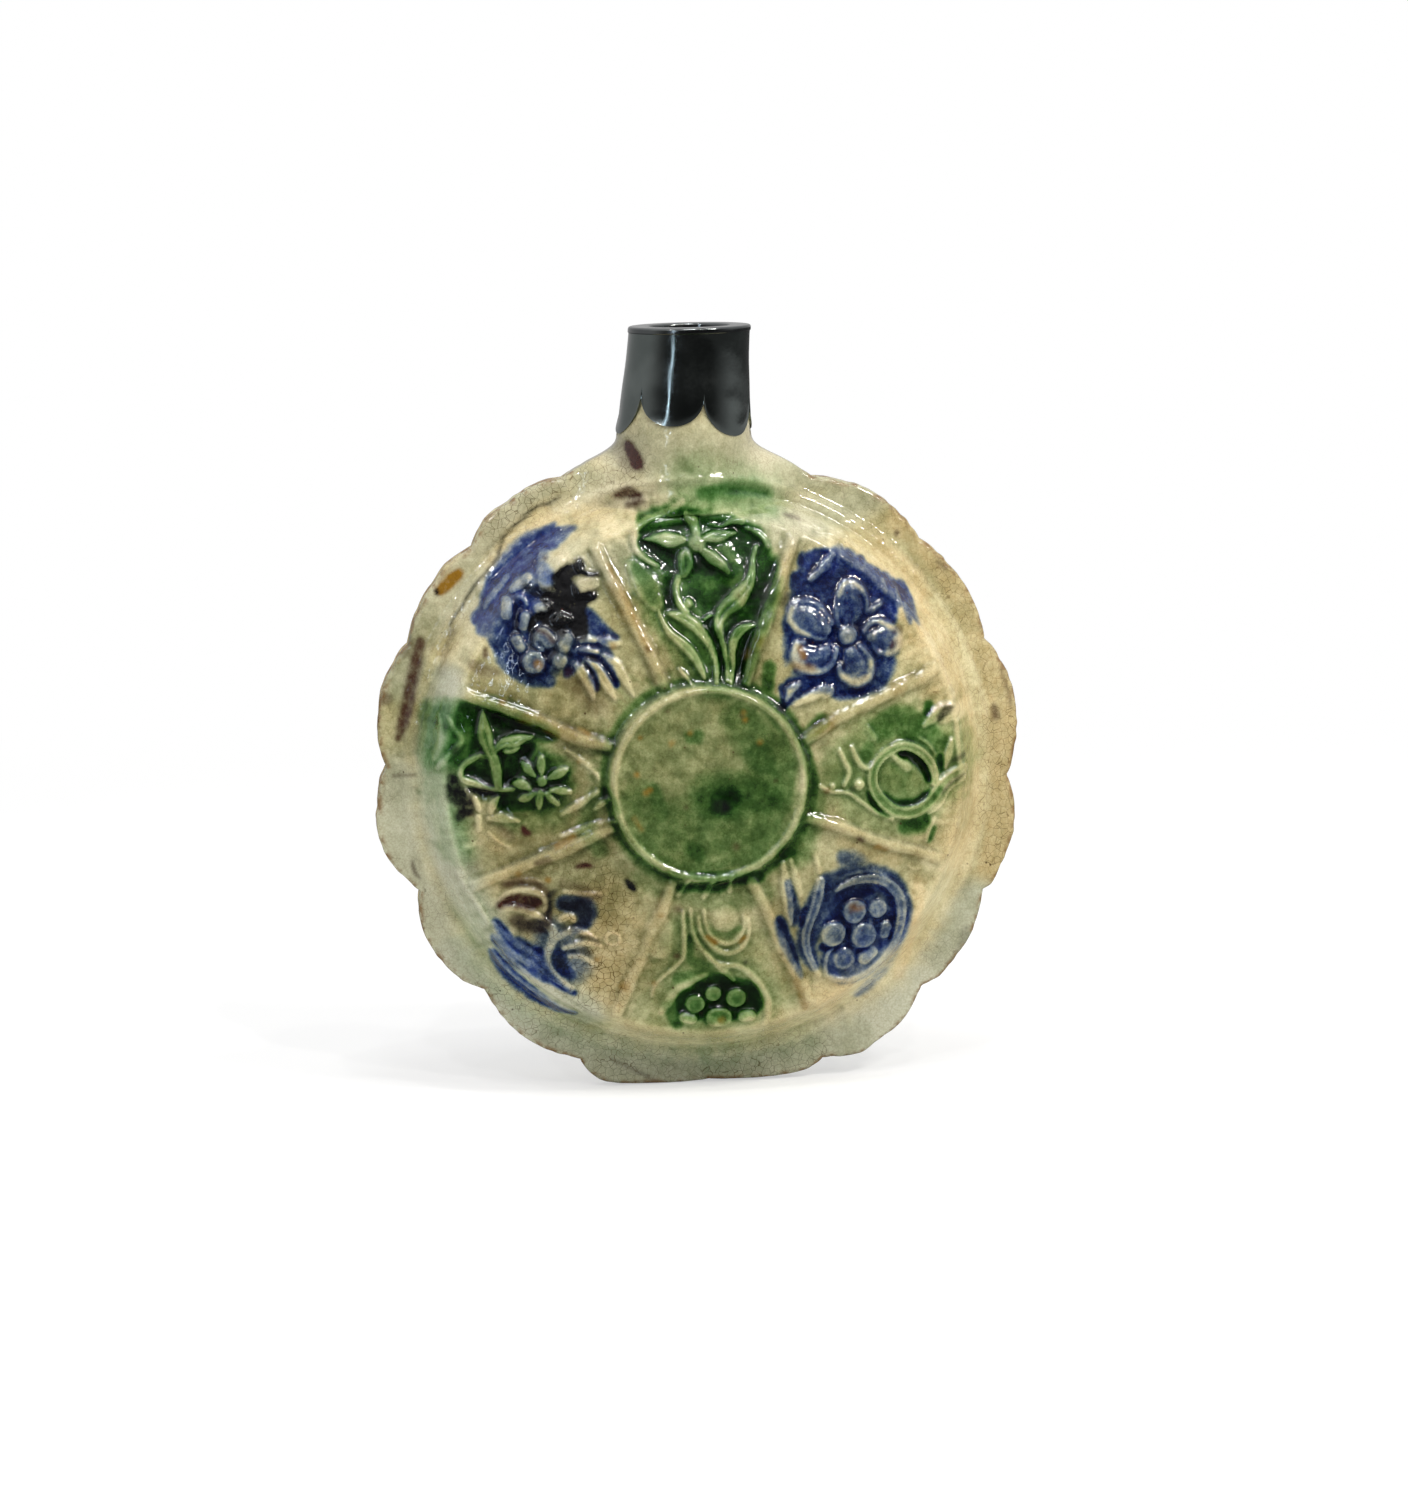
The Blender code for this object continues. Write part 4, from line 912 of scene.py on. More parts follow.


# Stains, with painted shade and painted light among them
STAIN_BLUR = 0.2
STAIN_REACH = 2.2  # in half widths, how far a ragged stroke can spread
CLOUD_SIZE = 5.0
CLOUD_SHARE = 0.08  # of the raggedness of the strokes' edges, and so on
FRAY_SIZE = 0.9
FRAY_SHARE = 0.10
STREAK_FINENESS = 38.0  # cells in a radian
STREAK_LENGTH = 4.0
STREAK_SHARE = 0.16
RIB_BAND = (0.8, 1.8)  # from a rib's middle, where its own stain fades
RIB_MURK = 0.45
RIB_TAN = 0.25
RIB_OCHRE = 0.22
RIB_OCHRE_CLOUD = (0.1, 0.6)  # only where the cloud is thick
SHOULDER_THINNING = 0.65  # share of the turned shoulder that the glaze follows instead of running off
SHOULDER_START = (43.0, 46.0)
EDGE_REACH = (0.2, 1.3)  # from the rim, where the glaze has run thin
POOL_WIDTHS = ((0.5, 0.7), (1.3, 0.6))  # (width of the smoothing in mm, share) of the glaze's pooling


def stain_and_light_maps(seed):
    """Amount of each stain, and of the painted shade and light among them, 0 to 1."""
    maps = {name: np.zeros(MAP_X.shape) for name in STAIN_AND_LIGHT_NAMES}
    cloud = clouds(CLOUD_SIZE, seed + 11)
    ragged = STREAK_SHARE * layered(MAP_ANGLE * STREAK_FINENESS, MAP_R / STREAK_LENGTH, seed)
    ragged = ragged + FRAY_SHARE * clouds(FRAY_SIZE, seed + 5) + CLOUD_SHARE * cloud
    for (name, amount, softness), window, share in lines_of(STAINS_AND_PAINTED_LIGHT, STAIN_REACH):
        soft = float(softness)
        cover = float(amount) * ease(1.0 + soft, 1.0 - soft, share + ragged[window])
        maps[name][window] = np.maximum(maps[name][window], cover)
    across, along = rib_distance()
    band = ease(*RIB_BAND[::-1], across) * within(along, RIB_REACH, 1.0, 1.0)
    maps["murk"] += RIB_MURK * band * (1.0 + 0.5 * cloud)
    maps["tan"] = np.maximum(maps["tan"], RIB_TAN * band)
    maps["ochre"] = np.maximum(maps["ochre"], RIB_OCHRE * band * ease(*RIB_OCHRE_CLOUD, cloud))
    return {name: blur(amounts, STAIN_BLUR) for name, amounts in maps.items()}


def half_values(relief, stains_and_light, mirrored, share=1.0):
    """Everything that the glaze's colour depends on, as maps."""
    values = {name: amount * share for name, amount in stains_and_light.items()}
    left = 1.0 - values.pop("bare")
    for name in ("green", "blue", "murk"):
        values[name] = values[name] * left
    turned_part = 1.0 - SHOULDER_THINNING * ease(*SHOULDER_START, MAP_R)
    pool = np.zeros(MAP_X.shape)
    for width, part in POOL_WIDTHS:
        for shape, weight in ((relief, 1.0), (ground(MAP_R), turned_part)):
            pool += part * weight * (blur(shape, width) - shape)
    values["pool"] = np.clip(pool, -1.0, 1.0)
    outline = rim_radius(-MAP_ANGLE if mirrored else MAP_ANGLE)
    values["edge"] = ease(*EDGE_REACH[::-1], outline - MAP_R)
    return values


# Meshes
def new_object(name, vertices, faces, smooth=True):
    """An object of vertices in mm from the disc's middle and arrays or lists of faces."""
    mesh = bpy.data.meshes.new(name)
    mesh.from_pydata(((np.asarray(vertices) + MIDDLE) * MM).tolist(), [], [tuple(face) for face in faces])
    mesh.validate()
    mesh.polygons.foreach_set("use_smooth", [smooth] * len(mesh.polygons))
    mesh.update()
    thing = bpy.data.objects.new(name, mesh)
    bpy.context.scene.collection.objects.link(thing)
    return thing


def set_values(thing, values):
    """Writes one float for each vertex under each name."""
    for name, numbers in values.items():
        layer = thing.data.attributes.new(name, "FLOAT", "POINT")
        layer.data.foreach_set("value", np.asarray(numbers, np.float32))


def round_turns(count):
    """Angles of so many even steps of a full turn."""
    return FULL_TURN * np.arange(count) / count


def zipped(inner, outer):
    """Triangles between two closed rings of vertex numbers, the outer one at least as long."""
    a, b = np.asarray(inner), np.asarray(outer)
    na, nb = len(a), len(b)
    near = np.floor((np.arange(nb + 1) + 0.5) / nb * na + 0.5).astype(int)
    i, j = np.arange(nb), np.arange(na)
    at = np.searchsorted(near[:-1], j + 1)
    outward = np.stack((a[near[:-1] % na], b[(i + 1) % nb], b[i]), 1)
    return np.concatenate((outward, np.stack((a[j], a[(j + 1) % na], b[at % nb]), 1)))


def bands(rows, count, closed=True):
    """Quads between each of so many rows of count vertices and the next, the last row and the first."""
    column = np.arange(count if closed else count - 1)
    after = (column + 1) % count
    faces = []
    for row in range(rows):
        low, high = row * count, (row + 1) % rows * count
        faces.append(np.stack((low + column, low + after, high + after, high + column), 1))
    return np.concatenate(faces)


# Halves of the body
RING_SPANS = (  # (from, to, step) of the rings' radii
    (0.45, 15.0, 0.45), (15.0, 19.0, 0.2), (19.0, 47.0, 0.33), (47.0, 50.5, 0.22), (50.5, 54.4, 0.3),
)  # fmt: skip
AROUND_STEP = 0.40
LEAST_AROUND = 8
FLANGE_RINGS = 9
RIM_RINGS = 6
SEAM_RINGS = ((0.04, 0.65), (0.35, SEAM_FACE))  # (inset from the rim, height)
INNER_COUNT = 220
INNER_RADII = (
    52.0, 48.0, 45.6, 45.0, 44.4, 43.4, 41.0, 38.0, 34.0, 30.0, 25.0, 20.0, 17.5, 15.0, 10.0, 5.0,
)  # fmt: skip
CAVITY_KNOTS = (  # (radius, height above the seam plane) of the hollow
    (0.0, 17.55), (15.5, 17.55), (19.0, 15.9), (23.0, 15.5), (28.0, 14.7), (33.0, 13.45), (38.0, 11.85),
    (43.4, 10.2), (44.6, 5.6), (45.0, 0.3), (70.0, 0.3),
)  # fmt: skip
SOCKET_RADIUS = 9.6  # of the way left for the neck's bore between the halves
SOCKET_FOOT = (43.4, 44.4)
SOCKET_WALL = 1.0
SOCKET_WALL_HEIGHT = 2.4  # height from which that wall is whole


def socket(x, z):
    """Height of the way for the bore above the seam plane, 0 outside it."""
    return np.sqrt(np.clip(SOCKET_RADIUS**2 - x * x, 0.0, None)) * ease(*SOCKET_FOOT, z)


def cleared(height, x, z):
    """The height raised, inside the neck, over the way for the bore."""
    way = socket(x, z)
    wall = SOCKET_WALL * np.minimum(height, SOCKET_WALL_HEIGHT) / SOCKET_WALL_HEIGHT
    return np.where(way > 0, np.maximum(height, way + wall), height)


def half_rings(relief, mirrored):
    """Rings of (x, z, height) from the middle out over the rim and back inside to the middle."""
    rings = []

    def add(radius, turn, height=None):
        x, z = radius * np.sin(turn), radius * np.cos(turn)
        if height is None:
            height = ground(radius) + sample(relief, x, z)
        rings.append((x, z, cleared(height, x, z)))
        return height

    for first, last, step in RING_SPANS:
        for radius in np.arange(first, last - step / 2, step):
            add(radius, round_turns(max(LEAST_AROUND, int(FULL_TURN * radius / AROUND_STEP))))
    turn = round_turns(int(FULL_TURN * FLANGE_RADIUS / AROUND_STEP))
    edge = rim_radius(-turn if mirrored else turn)
    for share in np.arange(FLANGE_RINGS + 1) / FLANGE_RINGS:
        low = add(FLANGE_RADIUS + (edge - RIM_ROUNDING - FLANGE_RADIUS) * share, turn)
    for tilt in math.pi / 2 * np.arange(1, RIM_RINGS + 1) / RIM_RINGS:
        radius = edge - RIM_ROUNDING + RIM_ROUNDING * math.sin(tilt)
        add(radius, turn, low - RIM_ROUNDING * (1 - math.cos(tilt)))
    for inset, height in SEAM_RINGS:
        add(edge - inset, turn, np.full(len(turn), height))
    turn = round_turns(INNER_COUNT)
    for radius in INNER_RADII:
        x, z = radius * np.sin(turn), radius * np.cos(turn)
        rings.append((x, z, np.maximum(at_knots(CAVITY_KNOTS, radius), socket(x, z))))
    return rings


def make_half(name, relief, values, forward):
    """A closed half of the body, its outside formed by the relief over the turned ground."""
    rings = half_rings(relief, not forward)
    starts = np.cumsum([0] + [len(ring[0]) for ring in rings])
    numbers = [np.arange(start, stop) for start, stop in zip(starts, starts[1:])]
    outer, inner = starts[-1], starts[-1] + 1
    top = float(ground(0.0) + sample(relief, np.zeros(1), np.zeros(1))[0])
    ends = np.array(((0.0, 0.0), (0.0, 0.0), (top, CAVITY_KNOTS[0][1])))
    x, z, height = np.concatenate([np.stack(ring) for ring in rings] + [ends], 1)
    ring = numbers[0]
    faces = [np.stack((np.full(len(ring), outer), np.roll(ring, -1), ring), 1)]
    for a, b in zip(numbers, numbers[1:]):
        faces.append(zipped(a, b) if len(b) >= len(a) else zipped(b, a)[:, ::-1])
    ring = numbers[-1]
    faces.append(np.stack((np.full(len(ring), inner), ring, np.roll(ring, -1)), 1))
    side = 1.0 if forward else -1.0
    thing = new_object(name, np.stack((side * x, -side * height, z), 1), np.concatenate(faces))
    set_values(thing, {key: sample(grid, x, z) for key, grid in values.items()})
    return thing


# Shape of the neck under its mount
OVERALL_HEIGHT = 139.0
TOP_Z = OVERALL_HEIGHT - DISC_HEIGHT  # top of the lip
MOUNT_HEIGHT = 19.5
MOUNT_FOOT_Z = TOP_Z - MOUNT_HEIGHT
MOUNT_TOP_RADIUS = 10.95
MOUNT_FOOT_RADIUS = 12.3
MOUNT_FLARE = 1.4
SHEET = 0.5
GAP = 0.3
LIP_THICKNESS = 1.1
LIP_SKIRT_DEPTH = 3.0
LIP_FOOT_Z = TOP_Z - LIP_THICKNESS - LIP_SKIRT_DEPTH
NECK_TOP_Z = TOP_Z - LIP_THICKNESS - GAP
BEDDING_TOP_Z = NECK_TOP_Z - 1.6
BEDDING_FOOT_Z = BEDDING_TOP_Z - 8.0
BEDDING_RECESS = 1.15
MOUTH_RADIUS = BORE_RADIUS + SHEET + 2 * GAP
MOUTH_FLOOR_Z = LIP_FOOT_Z - GAP
NECK_CELL = 0.5
NECK_REACH = (31.0, 17.0)  # half width and half thickness of the box that it is formed in
NECK_FOOT_Z = 41.0
NECK_EDGE_RADIUS = 47.3  # the neck's foot ends on the panels' edge
NECK_MARGIN = 13.0
NECK_SEED = 71
NECK_UNEVENNESS = 0.008
NECK_WAVE = 6.0
NECK_WAVE_INSET = (1.0, 3.0)  # from the bore, where the unevenness starts
NECK_WAVE_TOP = (59.0, 62.0)  # and heights between which it ends
NECK_EDGE_REACH = (0.5, 2.0)  # from the rim, where the neck's glaze is thin like the rim's
NECK_EDGE_TOP = (50.0, 53.0)  # and heights between which that ends
COVERED_SPAN = (-0.5, 6.5)  # from the mount's foot, where the neck takes the sleeve's shape
LEAST_STEEPNESS = 0.2
LONGEST_MOVE = 0.3
BODY_INSET = 0.22
WEB_REACH = 10.5
WEB_GROWTH = (48.0, 55.0)  # radii between which the web widens
WEB_NARROWING = (54.0, 61.0)  # and heights between which it narrows again
WEB_SHORTER = 0.75  # share by which the web between neck and rim is narrower just under the mount
SLOPE_STEP = 0.4
NECK_KNOTS = (  # (z, radius) of the bare neck
    (38.0, 13.6), (47.0, 13.3), (52.0, 12.9), (57.0, 12.45), (60.5, 12.2), (62.0, 12.15), (90.0, 12.1),
)  # fmt: skip
LEAN_KNOTS = (  # (z, shift to the right) of the crooked neck
    (47.0, 0.0), (52.0, -0.5), (58.0, -1.0), (62.0, -1.1), (66.0, -0.8), (80.5, 0.4),
)  # fmt: skip


def lean(z):
    """How far the neck's axis is shifted to the right."""
    return at_knots(LEAN_KNOTS, z)


def mount_radius(z):
    """Outer radius of the metal sleeve."""
    share = np.clip((z - MOUNT_FOOT_Z) / (MOUNT_HEIGHT - LIP_THICKNESS - GAP), 0.0, 1.0)
    return MOUNT_TOP_RADIUS + (MOUNT_FOOT_RADIUS - MOUNT_TOP_RADIUS) * (1.0 - share) ** MOUNT_FLARE


def neck_radius(z):
    """Outer radius of the neck, stepped in where the bedding lies."""
    bare = at_knots(NECK_KNOTS, z)
    covered = mount_radius(z) - SHEET - GAP
    radius = bare + (covered - bare) * ease(*COVERED_SPAN, z - MOUNT_FOOT_Z)
    return radius - BEDDING_RECESS * ease(BEDDING_FOOT_Z - 0.3, BEDDING_FOOT_Z, z)


def blended(a, b, reach):
    """The smaller of two distances, rounded over the reach where they are alike."""
    near = np.clip(reach - np.abs(a - b), 0.0, None) / reach
    return np.minimum(a, b) - near * near * reach / 4


def body_distance(x, y, z):
    """Rough distance from the body's plain outside, negative inside."""
    radius = np.hypot(x, z)
    slope = (ground(radius + SLOPE_STEP) - ground(radius - SLOPE_STEP)) / (2 * SLOPE_STEP)
    upright = (np.abs(y) - ground(radius)) / np.sqrt(1 + slope * slope) + RIM_ROUNDING
    outward = radius - rim_radius(np.arctan2(x, z)) + RIM_ROUNDING
    corner = np.hypot(np.maximum(upright, 0.0), np.maximum(outward, 0.0))
    return corner + np.minimum(np.maximum(upright, outward), 0.0) - RIM_ROUNDING


def neck_distance(x, y, z):
    """Distance field of the neck piece, run smoothly into the flange and cut at the panels' edge."""
    radius = np.hypot(x, z)
    away = np.hypot(x - lean(z), y)
    tube = away - neck_radius(z)
    narrower = 1.0 - WEB_SHORTER * ease(*WEB_NARROWING, z)
    reach = 1.0 + WEB_REACH * ease(*WEB_GROWTH, radius) * narrower
    outside = blended(tube, body_distance(x, y, z) + BODY_INSET, reach)
    for cut in (tube - NECK_MARGIN, z - NECK_TOP_Z, NECK_EDGE_RADIUS - radius):
        outside = np.maximum(outside, cut)
    widened = ease(MOUTH_FLOOR_Z - 0.1, MOUTH_FLOOR_Z + 0.1, z)
    return np.maximum(outside, BORE_RADIUS + (MOUTH_RADIUS - BORE_RADIUS) * widened - away)


def surface_net(field, axes):
    """Vertices and quads of the surface where a sampled field changes its sign."""
    inside = field < 0
    cell = np.zeros([count - 1 for count in field.shape])
    sums = np.zeros((*cell.shape, 3))
    corners = [(i, j, k) for i in (0, 1) for j in (0, 1) for k in (0, 1)]

    def part(values, corner):
        return values[tuple(slice(start, start + count) for start, count in zip(corner, cell.shape))]

    for first in corners:
        for axis in range(3):
            if first[axis]:
                continue
            second = tuple(1 if n == axis else c for n, c in enumerate(first))
            a, b = part(field, first), part(field, second)
            crossed = part(inside, first) != part(inside, second)
            share = np.where(crossed, a / np.where(crossed, a - b, 1.0), 0.0)
            cell += crossed
            for n in range(3):
                place = first[n] + (share if n == axis else 0.0)
                sums[..., n] += np.where(crossed, place, 0.0)
    used = cell > 0
    index = np.full(cell.shape, -1)
    index[used] = np.arange(used.sum())
    place = sums[used] / cell[used][:, None] + np.argwhere(used)
    start = np.array([axis[0] for axis in axes])
    step = np.array([axis[1] for axis in axes]) - start
    faces = []
    for axis in range(3):
        low = [slice(1, count - 1) for count in field.shape]
        high = list(low)
        low[axis], high[axis] = slice(0, field.shape[axis] - 1), slice(1, field.shape[axis])
        a, b = inside[tuple(low)], inside[tuple(high)]
        at = np.argwhere(a != b) + np.array([span.start for span in low])
        one, two = (axis + 1) % 3, (axis + 2) % 3
        around = []
        for back_one, back_two in ((1, 1), (0, 1), (0, 0), (1, 0)):
            spot = at.copy()
            spot[:, one] -= back_one
            spot[:, two] -= back_two
            around.append(index[tuple(spot.T)])
        quads = np.stack(around, 1)
        turned_over = ~a[a != b]
        quads[turned_over] = quads[turned_over][:, ::-1]
        faces.append(quads)
    return place * step + start, np.concatenate(faces)


def drawn_to(distance, points, rounds=3, step=0.05):
    """Points moved onto the surface of a distance field."""
    for _ in range(rounds):
        slope = []
        for shift in step * np.eye(3):
            slope.append((distance(*(points + shift).T) - distance(*(points - shift).T)) / (2 * step))
        slope = np.stack(slope, 1)
        steepness = np.maximum((slope * slope).sum(1), LEAST_STEEPNESS)
        move = -(distance(*points.T) / steepness)[:, None] * slope
        length = np.linalg.norm(move, axis=1, keepdims=True)
        points = points + move * np.minimum(1.0, LONGEST_MOVE / np.maximum(length, 1e-9))
    return points


def make_neck(front_values, back_values):
    """The luted neck, open from the mouth into the body."""
    spans = ((-NECK_REACH[0], NECK_REACH[0] + NECK_CELL), (-NECK_REACH[1], NECK_REACH[1] + NECK_CELL),
             (NECK_FOOT_Z, TOP_Z + 1.0))  # fmt: skip
    axes = [np.arange(*span, NECK_CELL) for span in spans]
    vertices, faces = surface_net(neck_distance(*np.meshgrid(*axes, indexing="ij")), axes)
    vertices = drawn_to(neck_distance, vertices)
    x, y, z = vertices.T
    outer = ease(*NECK_WAVE_INSET, np.hypot(x - lean(z), y) - BORE_RADIUS)
    outer = outer * ease(*NECK_WAVE_TOP[::-1], z)
    y *= 1 + NECK_UNEVENNESS * layered(x / NECK_WAVE, z / NECK_WAVE, NECK_SEED) * outer
    seen_x, seen_z = on_flask(vertices - EYE)
    values = {}
    for name in front_values:
        ahead, behind = sample(front_values[name], seen_x, seen_z), sample(back_values[name], -x, z)
        values[name] = np.where(y < 0, ahead, behind)
    rim_inset = rim_radius(np.arctan2(x, z)) - np.hypot(x, z)
    values["edge"] *= ease(*NECK_EDGE_REACH[::-1], rim_inset) * ease(*NECK_EDGE_TOP[::-1], z)
    thing = new_object("neck_luted", vertices, faces)
    set_values(thing, values)
    return thing


# Metal mount
MOUNT_LOBES = 6
MOUNT_NOTCHES = (8.2, 6.9, 5.8, 6.0, 7.0, 8.0)  # above the lowest tip, clockwise from the front lobe's left
MOUNT_TIPS = (2.2, 0.0, 0.4, 0.9, 1.1, 0.5)  # of the front lobe, the next one to the right and so on
MOUNT_LOBE_TURN = math.radians(-19.0)
LOBE_COLUMNS = 28
MOUNT_ROWS = 26
MOUNT_DENT = 0.16
MOUNT_DENT_SIZE = (1 / 2.2, 5.0)  # in radians round and mm up
MOUNT_CURL = 0.12  # how far the sleeve's edge is turned out
MOUNT_CURL_HEIGHT = 0.5
LIP_JOINT = 0.02  # between the sleeve and the lip
MOUNT_SEED = 33
MOUNT_CREASE = math.radians(50.0)
LIP_CREASE = math.radians(40.0)
LIP_OVERHANG = 0.15
LIP_CHAMFER = 0.12
LIP_OUTER_EDGE = 0.45
LIP_INNER_EDGE = 0.4
LIP_STEPS = (6, 4)  # of the outer and the inner rounding


def mount_edge(turn):
    """Lower edge of the sleeve above its lowest tip; every hand-cut lobe has its own depth."""
    place = (turn - MOUNT_LOBE_TURN) * MOUNT_LOBES / FULL_TURN + 0.5
    lobe = np.floor(place).astype(int) % MOUNT_LOBES
    share = place % 1.0
    notches = np.array(MOUNT_NOTCHES)
    before, after = notches[lobe], notches[(lobe + 1) % MOUNT_LOBES]
    depth = (before + after) / 2 - np.array(MOUNT_TIPS)[lobe]
    return before * (1 - share) + after * share - depth * dome(2 * share - 1)


def placed_round(radius, turn, z):
    """Points at a radius about the neck's leaning axis."""
    z = np.broadcast_to(z, turn.shape)
    return np.stack((lean(z) + radius * np.sin(turn), -radius * np.cos(turn), z), 1)


def make_sleeve():
    """Thin lobed sleeve, its sheet a little dented and turned out at the edges."""
    share = 0.5 - 0.5 * np.cos(math.pi * np.arange(LOBE_COLUMNS) / LOBE_COLUMNS)
    turns = np.concatenate([lobe - 0.5 + share for lobe in range(MOUNT_LOBES)])
    turns = MOUNT_LOBE_TURN + turns * FULL_TURN / MOUNT_LOBES
    top = TOP_Z - LIP_THICKNESS - LIP_JOINT
    foot = MOUNT_FOOT_Z + mount_edge(turns)
    steps = np.linspace(0.0, 1.0, MOUNT_ROWS)
    rows = []
    for depth, order in ((0.0, steps), (SHEET, steps[::-1])):
        for step in order:
            z = foot + (top - foot) * step
            dent = layered(turns / MOUNT_DENT_SIZE[0], z / MOUNT_DENT_SIZE[1], MOUNT_SEED, 2)
            dent = dent * MOUNT_DENT * (1 - step)
            curl = MOUNT_CURL * bell(z, foot, MOUNT_CURL_HEIGHT)
            radius = mount_radius(z) - depth + dent + curl
            rows.append(placed_round(radius, turns, z))
    thing = new_object("metal_sleeve", np.concatenate(rows), bands(len(rows), len(turns)))
    thing.data.set_sharp_from_angle(angle=MOUNT_CREASE)
    return thing


def turned(name, profile, count=144):
    """A closed ring turned about the vertical axis from (radius, z) points."""
    rows = [placed_round(radius, round_turns(count), z) for radius, z in profile]
    return new_object(name, np.concatenate(rows), bands(len(rows), count))


def make_lip():
    """Rolled lip that closes the sleeve and goes down into the mouth."""
    outer = MOUNT_TOP_RADIUS + LIP_OVERHANG
    inner = BORE_RADIUS + GAP
    under = TOP_Z - LIP_THICKNESS
    skirt = inner + SHEET
    profile = [(skirt, LIP_FOOT_Z), (skirt, under - 0.1), (skirt + 0.1, under)]
    profile += [(outer - LIP_CHAMFER, under), (outer, under + LIP_CHAMFER)]
    for tilt in np.linspace(0.0, math.pi / 2, LIP_STEPS[0] + 1):
        rise, out = LIP_OUTER_EDGE * (1 - math.sin(tilt)), LIP_OUTER_EDGE * (1 - math.cos(tilt))
        profile.append((outer - out, TOP_Z - rise))
    for tilt in np.linspace(math.pi / 2, 0.0, LIP_STEPS[1] + 1):
        rise, out = LIP_INNER_EDGE * (1 - math.sin(tilt)), LIP_INNER_EDGE * (1 - math.cos(tilt))
        profile.append((inner + out, TOP_Z - rise))
    thing = turned("metal_lip", profile + [(inner, LIP_FOOT_Z)])
    thing.data.set_sharp_from_angle(angle=LIP_CREASE)
    return thing


def make_bedding():
    """Plaster between the neck and the sleeve."""
    heights = np.linspace(BEDDING_FOOT_Z, BEDDING_TOP_Z, 8)
    outside = [(float(mount_radius(z)) - SHEET - 0.2, z) for z in heights]
    inside = [(radius - BEDDING_RECESS + 0.25, z) for radius, z in outside]
    return turned("bedding_ring", outside + inside[::-1])


# Slip of the seam
SEAM_HALF = 0.28
SEAM_CHAMFER = 0.1
SEAM_INSET = 0.22
SEAM_INNER = 45.6
SEAM_GAP_TURN = math.radians(10.5)
SEAM_COUNT = 720


def make_seam():
    """Slip that lutes the halves, open where the neck stands."""
    turn = np.linspace(SEAM_GAP_TURN, FULL_TURN - SEAM_GAP_TURN, SEAM_COUNT)
    outer = rim_radius(turn) - SEAM_INSET
    rows = []
    for radius, y in ((outer - SEAM_CHAMFER, SEAM_HALF), (outer, SEAM_CHAMFER), (outer, -SEAM_CHAMFER),
                      (outer - SEAM_CHAMFER, -SEAM_HALF), (SEAM_INNER, -SEAM_HALF), (SEAM_INNER, SEAM_HALF)):
        rows.append(np.stack((radius * np.sin(turn), np.full(SEAM_COUNT, y), radius * np.cos(turn)), 1))
    starts = [row * SEAM_COUNT for row in range(len(rows))]
    ends = [starts, [start + SEAM_COUNT - 1 for start in starts[::-1]]]
    faces = [*bands(len(rows), SEAM_COUNT, closed=False), *ends]
    return new_object("rim_slip", np.concatenate(rows), faces, smooth=False)


# Materials
def tint(red, green, blue):
    """A colour given as it looks in a picture, 0 to 255, made linear."""
    shares = np.array((red, green, blue)) / 255.0
    linear = np.where(shares <= 0.04045, shares / 12.92, ((shares + 0.055) / 1.055) ** 2.4)
    return (*linear.tolist(), 1.0)


